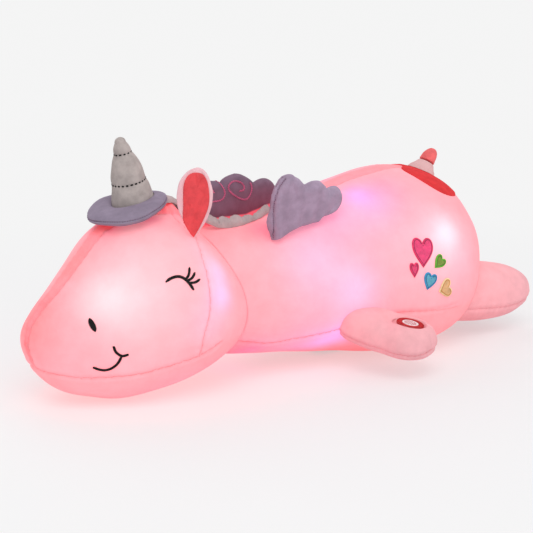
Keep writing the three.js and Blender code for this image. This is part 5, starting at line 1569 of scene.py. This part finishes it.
# Hearts: satin fill in rows, a satin edge over it, and a darker line inside the edge, which is painted shade of the
# groove between edge and fill
heartLook = {
    "edge": 1.5 * mm, "edgeAt": 0.36, "edgeSkew": 0.2, "edgeThread": 0.3 * mm, "pitch": 0.36 * mm,
    "thread": 0.32 * mm, "stitch": 4.2 * mm, "stagger": 0.618, "slant": 0.35, "overlap": 1.06, "shortest": 0.3 * mm,
    # inside, insideAt and insideStitch give the thread, place and stitch of the line of painted groove shade
    "inside": 0.36 * mm, "insideAt": 0.86, "insideStitch": 1.25 * mm,
    "curve": [[0.5, -0.5, 1, -0.1, 1, 0.4], [1, 1.1, 0.2, 1.1, 0, 0.55], [-0.2, 1.1, -1, 1.1, -1, 0.4],
              [-1, -0.1, -0.5, -0.5, 0, -1]],
    # Name, along, up, height, tilt, width share, then the colours of the fill, the edge and the line inside it (painted
    # groove shade)
    "hearts": [
        ["heart_large_pink", 0.6525, 0.607, 26, 6, 0.79, (246, 70, 128), (230, 40, 102), (150, 16, 64),
         "magenta_thread"],
        ["heart_small_pink", 0.6185, 0.522, 13, 2, 0.7, (240, 66, 122), (228, 44, 104), (160, 22, 70),
         "magenta_thread"],
        ["heart_green", 0.701, 0.545, 13.2, 50, 0.86, (128, 156, 52), (104, 196, 46), (54, 122, 26), "green_thread"],
        ["heart_blue", 0.667, 0.45, 15.5, 20, 0.86, (96, 176, 200), (36, 156, 208), (14, 94, 146), "blue_thread"],
        ["heart_yellow", 0.721, 0.397, 14.5, 76, 1.2, (230, 184, 130), (250, 224, 172), (206, 134, 50),
         "yellow_thread"],
    ],
}


def heartOutline(height, widthShare, steps=22):
    w, h = height * widthShare / 2, height / 2
    at, places = np.array([0.0, -h]), []
    for row in heartLook["curve"]:
        a, b, c = (np.array([row[k] * w, row[k + 1] * h]) for k in (0, 2, 4))
        for i in range(steps):
            u = i / steps
            places.append(at * (1 - u) ** 3 + a * 3 * u * (1 - u) ** 2 + b * 3 * u * u * (1 - u) + c * u ** 3)
        at = c
    return [tuple(p * mm) for p in places]


def evenly(outline, step):
    closed = np.array(outline + outline[:1])
    reach = np.concatenate([[0], np.cumsum(np.linalg.norm(np.diff(closed, axis=0), axis=1))])
    wanted = np.linspace(0, reach[-1], int(reach[-1] / step), endpoint=False)
    return np.array([np.interp(wanted, reach, closed[:, k]) for k in (0, 1)]).T


def crossings(outline, b):  # where the line at height b cuts the outline
    cuts = []
    for (ax, ay), (bx, by) in zip(outline, outline[1:] + outline[:1]):
        if (ay > b) != (by > b):
            cuts.append(ax + (bx - ax) * (b - ay) / (by - ay))
    return sorted(cuts)


def fillStitches(outline, lift, across, beside):  # slanted rows of satin
    slant, pitch, stitch, shortest = (heartLook[key] for key in ("slant", "pitch", "stitch", "shortest"))
    slanted = [(a, b - slant * a) for a, b in outline]
    low, high = min(b for _, b in slanted), max(b for _, b in slanted)
    way, stitches = (across + beside * slant).normalized(), []
    for rowNumber in range(int((high - low) / pitch)):
        b = low + (rowNumber + 0.5) * pitch
        cuts = crossings(slanted, b)
        for start, end in zip(cuts[::2], cuts[1::2]):
            first = start - (rowNumber * heartLook["stagger"] % 1) * stitch
            for k in range(int((end - first) / stitch) + 1):
                a0, a1 = max(first + k * stitch, start), min(first + (k + 1) * stitch, end)
                middle = (a0 + a1) / 2
                hit, facing, _, _ = lift(middle, b + slant * middle)
                if hit is not None and a1 - a0 >= shortest:
                    span = (a1 - a0) * heartLook["overlap"] + shortest
                    stitches.append((hit + facing * 0.12 * mm, alongSkin(way, facing), facing, span))
    return stitches


def edgeStitches(outline, lift, nearest, across, beside):  # the satin edge, and the line of painted groove shade inside it
    rim, line = [], []
    ring = evenly(outline, heartLook["pitch"])
    for i, spot in enumerate(ring):
        tangent = ring[(i + 1) % len(ring)] - ring[i - 1]
        inward = np.array([-tangent[1], tangent[0]]) / np.linalg.norm(tangent)
        way = (across * tangent[0] + beside * tangent[1]).normalized()
        a, b = spot + inward * heartLook["edge"] * heartLook["edgeAt"]
        hit, facing, _, _ = lift(a, b)
        if hit is None:
            hit, facing, _, _ = nearest(a, b)
        along = across * inward[0] + beside * inward[1] + way * heartLook["edgeSkew"]
        rim.append((hit + facing * 0.35 * mm, alongSkin(along, facing), facing, heartLook["edge"]))
        # The darker line inside the edge: painted shade of the groove
        a, b = spot + inward * (heartLook["edge"] * heartLook["insideAt"] + heartLook["inside"] / 2)
        hit, facing, _, _ = lift(a, b)
        if hit is not None and i % 3 == 0:
            line.append((hit + facing * 0.4 * mm, alongSkin(way, facing), facing, heartLook["insideStitch"]))
    return rim, line


def sewHeart(name, atShare, upShare, height, tilt, widthShare, fill, edge, inner, slot):
    angle = math.radians(tilt)
    centre = Vector((torsoFront + atShare * torsoForm["length"], -torsoForm["halfWidth"],
                     upShare * torsoForm["height"])) * mm
    across, beside = Vector((math.cos(angle), 0, -math.sin(angle))), Vector((math.sin(angle), 0, math.cos(angle)))
    out = Vector((0, -1, 0))
    outline = heartOutline(height, widthShare)
    base = sewnDisc(name + "Base", torsoSkin, centre, (across, beside, out), outline, 10,
                    thick=0.5 * mm, crown=0.35 * mm, roll=0.8 * mm)
    skin = skinOf(base)

    def lift(a, b):
        return skin.ray_cast(centre + across * a + beside * b + out * 30 * mm, -out)

    def nearest(a, b):
        return skin.find_nearest(centre + across * a + beside * b)

    # inner is the colour of the painted groove shade inside the edge
    fillMaterial, edgeMaterial, grooveShadeMaterial = (satin(name + part, linear(colour), 0.55)
                                                for part, colour in (("Fill", fill), ("Edge", edge), ("Line", inner)))
    rim, line = edgeStitches(outline, lift, nearest, across, beside)
    finishPiece(dress(base, fillMaterial), "body", [name])
    for part, stitches, thickness, material in (
            ("Threads", fillStitches(outline, lift, across, beside), heartLook["thread"], fillMaterial),
            ("EdgeThreads", rim, heartLook["edgeThread"], edgeMaterial),
            ("InnerLine", line, heartLook["inside"], grooveShadeMaterial)):
        finishPiece(layThreads(name + part, stitches, thickness, material), "body")


for row in heartLook["hearts"]:
    sewHeart(*row)
print("hearts sewn")

# Press pad on the left paw: white woven disc, red satin ring, rows of plain dashes, and a dent in the leg round it
padLook = {"centre": (50, -107.4, 32.955), "axis": (0.09293, -0.16816, 0.98137), "radius": 11.6, "top": 15.4,
           "thick": 1.2, "crown": 0.35, "sides": 96, "threads": 250,
           "ring": (7.0, 11.7), "bore": 12.6, "travel": 1.5, "collar": 15, "from": 3, "proud": 0.3, "play": 0.5,
           "wall": 1.6, "swell": 0.5, "swellAt": 2.6,
           "crease": [(395.3, 315.5), (391.5, 321), (388, 327), (386.5, 333)],
           "creaseDepths": [3, 2.6, 1.5, 0.4], "creaseWidth": 6.5 * mm,
           "dashes": [(4.3, [-2.2, 0, 2.2]), (2.2, [-4.2, -2.3, -0.2, 1.8, 4]), (0, [-4.8, -2.8, -0.6, 1.6, 4.4]),
                      (-2.2, [-4, -1.9, 0.4, 2.4, 4.2]), (-4.3, [-2, 0.2, 2.1])]}
padAxis = Vector(padLook["axis"]).normalized()
padAcross = alongSkin(Vector((1, 0, 0)), padAxis)
padBeside = padAxis.cross(padAcross)
padCentre = Vector(padLook["centre"]) * mm


def dentLeg(leg):  # the skin rises flush with the pad's top, sinks under it, and has a crease beside it
    places = pointsOf(leg)
    bore, wall = padLook["bore"], padLook["wall"]
    outer = (bore + padLook["collar"]) * mm
    floorHeight = (padLook["top"] - padLook["thick"] - padLook["travel"] - padLook["play"]) * mm
    for i, p in enumerate(places):
        off = Vector(p) - padCentre
        height = off.dot(padAxis)
        radius = (off - padAxis * height).length
        if height < padLook["from"] * mm or radius > outer:
            continue
        near = 1 - float(smoothStep(np.array(radius), (bore + 1) * mm, outer))
        before, height = height, height * (1 - near) + (padLook["top"] + padLook["proud"]) * mm * near
        share = float(smoothStep(np.array(radius), bore * mm, (bore + wall) * mm))
        swell = padLook["swell"] * mm * math.exp(-(((radius - (bore + padLook["swellAt"]) * mm) / (wall * mm)) ** 2))
        goal = min(height, floorHeight) * (1 - share) + (height + swell) * share
        places[i] = np.array(Vector(p) + padAxis * (goal - before))
    setPoints(leg, places)
    crease = pathFromPixels(skinOf(leg), padLook["crease"])
    deep = padLook["creaseDepths"]
    depths = np.interp(np.linspace(0, 1, len(crease)), np.linspace(0, 1, len(deep)), deep) * mm
    outward = normalsOf(leg)
    gaps = np.linalg.norm(places[:, None, :] - crease[None, :, :], axis=2)
    nearest = gaps.argmin(axis=1)
    dent = depths[nearest] * np.exp(-((gaps.min(axis=1) / padLook["creaseWidth"]) ** 2))
    setPoints(leg, places - outward * dent[:, None])


dentLeg(next(leg for node, leg, _, _ in legs if node == "front_leg_left"))


def padRing(radius, height):
    return [padCentre + (padAcross * math.cos(a) + padBeside * math.sin(a)) * radius * mm + padAxis * height * mm
            for a in np.linspace(0, 2 * math.pi, padLook["sides"], endpoint=False)]


low, high, wide = padLook["top"] - padLook["thick"], padLook["top"], padLook["radius"]
padRings = [[padCentre + padAxis * low * mm] * padLook["sides"]]
padRings += [padRing(wide * k / 6, low) for k in range(1, 6)]
padRings += [padRing(wide - 0.25, low), padRing(wide, low + 0.3), padRing(wide, high - 0.5),
             padRing(wide - 0.3, high - 0.12)]
padRings += [padRing(wide * k / 12, high + padLook["crown"] * (1 - (k / 12) ** 2)) for k in range(11, 0, -1)]
padRings += [[padCentre + padAxis * (high + padLook["crown"]) * mm] * padLook["sides"]]
pad = ringMesh("pressPad", padRings)


def wovenCloth(name, colour, threads):  # with so many threads in a metre
    material, tree, shader = newMaterial(name)
    warp, weft = (mathNode(tree, "SINE", mathNode(tree, "MULTIPLY", part, threads * 6.28))
                  for part in partsOf(tree, objectPlace(tree))[:2])
    weave = mathNode(tree, "MULTIPLY_ADD", mathNode(tree, "MULTIPLY", warp, weft), 0.5, 0.5)
    cloth = mixColours(tree, weave, shaded(colour, 0.86), shaded(colour, 1.04))
    tree.links.new(cloth, shader.inputs["Base Color"])
    tree.links.new(bumpNode(tree, weave, 0.3, 0.2 * mm), shader.inputs["Normal"])
    shader.inputs["Roughness"].default_value = 0.8
    return material


padCloth = wovenCloth("whiteWovenCloth", linear((246, 226, 228)), 900)
ringThread = satin("redRingThread", linear((190, 8, 18)), 0.6, 0)
ringStitches, markStitches = [], []
middleRadius, ringWidth = sum(padLook["ring"]) / 2, padLook["ring"][1] - padLook["ring"][0]
for k in range(padLook["threads"]):
    a = 2 * math.pi * k / padLook["threads"]
    way = padAcross * math.cos(a) + padBeside * math.sin(a)
    turned = (way + way.cross(padAxis) * 0.12).normalized()
    spot = padCentre + way * middleRadius * mm + padAxis * (high + 0.28) * mm
    ringStitches.append((spot, turned, padAxis, ringWidth * mm))
    ringStitches.append((padCentre + way * (wide + 0.1) * mm + padAxis * (high - 0.7) * mm, padAxis, way, 1.9 * mm))
for offset, dashes in padLook["dashes"]:
    for place in dashes:
        for step in np.arange(-0.55, 0.56, 0.28):
            spot = padCentre + padAcross * (place + step) * mm + padBeside * offset * mm + padAxis * (high + 0.42) * mm
            markStitches.append((spot, padBeside, padAxis, 1.15 * mm))
finishPiece(dress(pad, padCloth), "press", ["press_pad"])
finishPiece(layThreads("padRing", ringStitches, 0.27 * mm, ringThread), "press")
finishPiece(layThreads("padDashes", markStitches, 0.17 * mm, ringThread), "press")

# The zip's recess in the belly
zipLook = {"from": 29.2, "to": 151.6, "half": 9.6, "roof": 9.7, "wall": 1.3}
places = pointsOf(torsoPlush)
under = places[:, 2] < 14 * mm
alongZip = np.minimum(smoothStep(places[:, 0], (zipLook["from"] - zipLook["wall"]) * mm, zipLook["from"] * mm),
                      smoothStep(-places[:, 0], -(zipLook["to"] + zipLook["wall"]) * mm, -zipLook["to"] * mm))
acrossZip = smoothStep(-np.abs(places[:, 1]), -(zipLook["half"] + zipLook["wall"]) * mm, -zipLook["half"] * mm)
share = alongZip * acrossZip * under
places[:, 2] += share * np.maximum(zipLook["roof"] * mm - places[:, 2], 0)
setPoints(torsoPlush, places)

# The solids that show as they are
plainFinishes = {
    "white_plastic": (linear((236, 232, 226)), 0.45, 0), "dark_plastic": (linear((52, 52, 58)), 0.4, 0),
    "green_board": (linear((44, 104, 66)), 0.5, 0), "steel": (linear((186, 190, 196)), 0.3, 0.95),
    "coral_plush": (linear((224, 90, 100)), 0.7, 0),
    "white_cloth": (linear((236, 196, 204)), 0.85, 0), "pink_plush": (linear((226, 152, 164)), 0.8, 0),
}


def plainFinish(name, colour, rough, metal):
    material, tree, shader = newMaterial(name + "Finish")
    place = objectPlace(tree)
    tone = rampNode(tree, noiseNode(tree, place, 220, 3), [(0.3, 0), (0.7, 1)])
    tree.links.new(mixColours(tree, tone, shaded(colour, 0.92), shaded(colour, 1.05)), shader.inputs["Base Color"])
    grain = noiseNode(tree, place, 2400, 2)
    tree.links.new(bumpNode(tree, grain, 0.12, 0.1 * mm), shader.inputs["Normal"])
    wear = mathNode(tree, "MULTIPLY_ADD", grain, 0.12, rough - 0.06)
    tree.links.new(wear, shader.inputs["Roughness"])
    shader.inputs["Metallic"].default_value = metal
    return material


finishes = {name: plainFinish(name, *values) for name, values in plainFinishes.items()}
for name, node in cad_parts.items():
    if not node.hide_render:
        slot = node.data.materials[0].name.split(".")[0]
        dress(node, finishes.get(slot, finishes["white_plastic"]))
print("solids dressed")


# Floor, and soft studio light
stageLook = {"size": 12, "floor": linear((240, 239, 240)), "background": 0.91, "plainNear": 0.5}
floorMesh = bpy.data.meshes.new("floor")
reach = stageLook["size"]
corners = [(x * reach, y * reach, 0) for x, y in ((-1, -1), (1, -1), (1, 1), (-1, 1))]
floorMesh.from_pydata(corners, [], [(0, 1, 2, 3)])
floor = addObject("floor", floorMesh)
floorPaint, floorTree, floorShader = newMaterial("paleFloor")
floorShader.inputs["Roughness"].default_value = 0.6
floorShader.inputs["Specular IOR Level"].default_value = 0.15
floorPlace = objectPlace(floorTree)
floorGrain = rampNode(floorTree, noiseNode(floorTree, floorPlace, 3, 3), [(0.3, 0.985), (0.7, 1.0)])
floorTone = mixColours(floorTree, 1.0, stageLook["floor"], floorGrain, "MULTIPLY")
floorTree.links.new(floorTone, floorShader.inputs["Base Color"])
away = vectorNode(floorTree, "DISTANCE", floorPlace, (0, 0, 0))
far = rampNode(floorTree, mathNode(floorTree, "DIVIDE", away, 1.2), [(0.2, stageLook["plainNear"]), (0.58, 1)])
plainBack = floorTree.nodes.new("ShaderNodeEmission")
plainBack.inputs["Color"].default_value = (stageLook["background"],) * 3 + (1,)
cameraRay = floorTree.nodes.new("ShaderNodeLightPath").outputs["Is Camera Ray"]
mixPaint = floorTree.nodes.new("ShaderNodeMixShader")
floorTree.links.new(mathNode(floorTree, "MULTIPLY", far, cameraRay), mixPaint.inputs[0])
floorTree.links.new(floorShader.outputs[0], mixPaint.inputs[1])
floorTree.links.new(plainBack.outputs[0], mixPaint.inputs[2])
floorOut = next(n for n in floorTree.nodes if n.type == "OUTPUT_MATERIAL")
floorTree.links.new(mixPaint.outputs[0], floorOut.inputs["Surface"])
dress(floor, floorPaint)

lamps = {
    "key": {"place": (-0.9, -1.3, 1.9), "size": 1.6, "power": 26},
    "fill": {"place": (1.5, -1.4, 1.2), "size": 2.0, "power": 11},
    "back": {"place": (0.3, 1.7, 1.6), "size": 1.8, "power": 13},
}
for lampName, lamp in lamps.items():
    light = bpy.data.lights.new(lampName, "AREA")
    light.size, light.energy = lamp["size"], lamp["power"]
    stand = bpy.data.objects.new(lampName, light)
    scene.collection.objects.link(stand)
    stand.location = lamp["place"]
    stand.rotation_euler = (Vector((0, 0, 0.08)) - stand.location).to_track_quat("-Z", "Y").to_euler()
scene.world = scene.world or bpy.data.worlds.new("studio")
scene.world.use_nodes = True
sky = next(n for n in scene.world.node_tree.nodes if n.type == "BACKGROUND")
sky.inputs["Color"].default_value, sky.inputs["Strength"].default_value = (0.97, 0.98, 1, 1), 0.56
scene.view_settings.view_transform = "Standard"
print("stage ready")
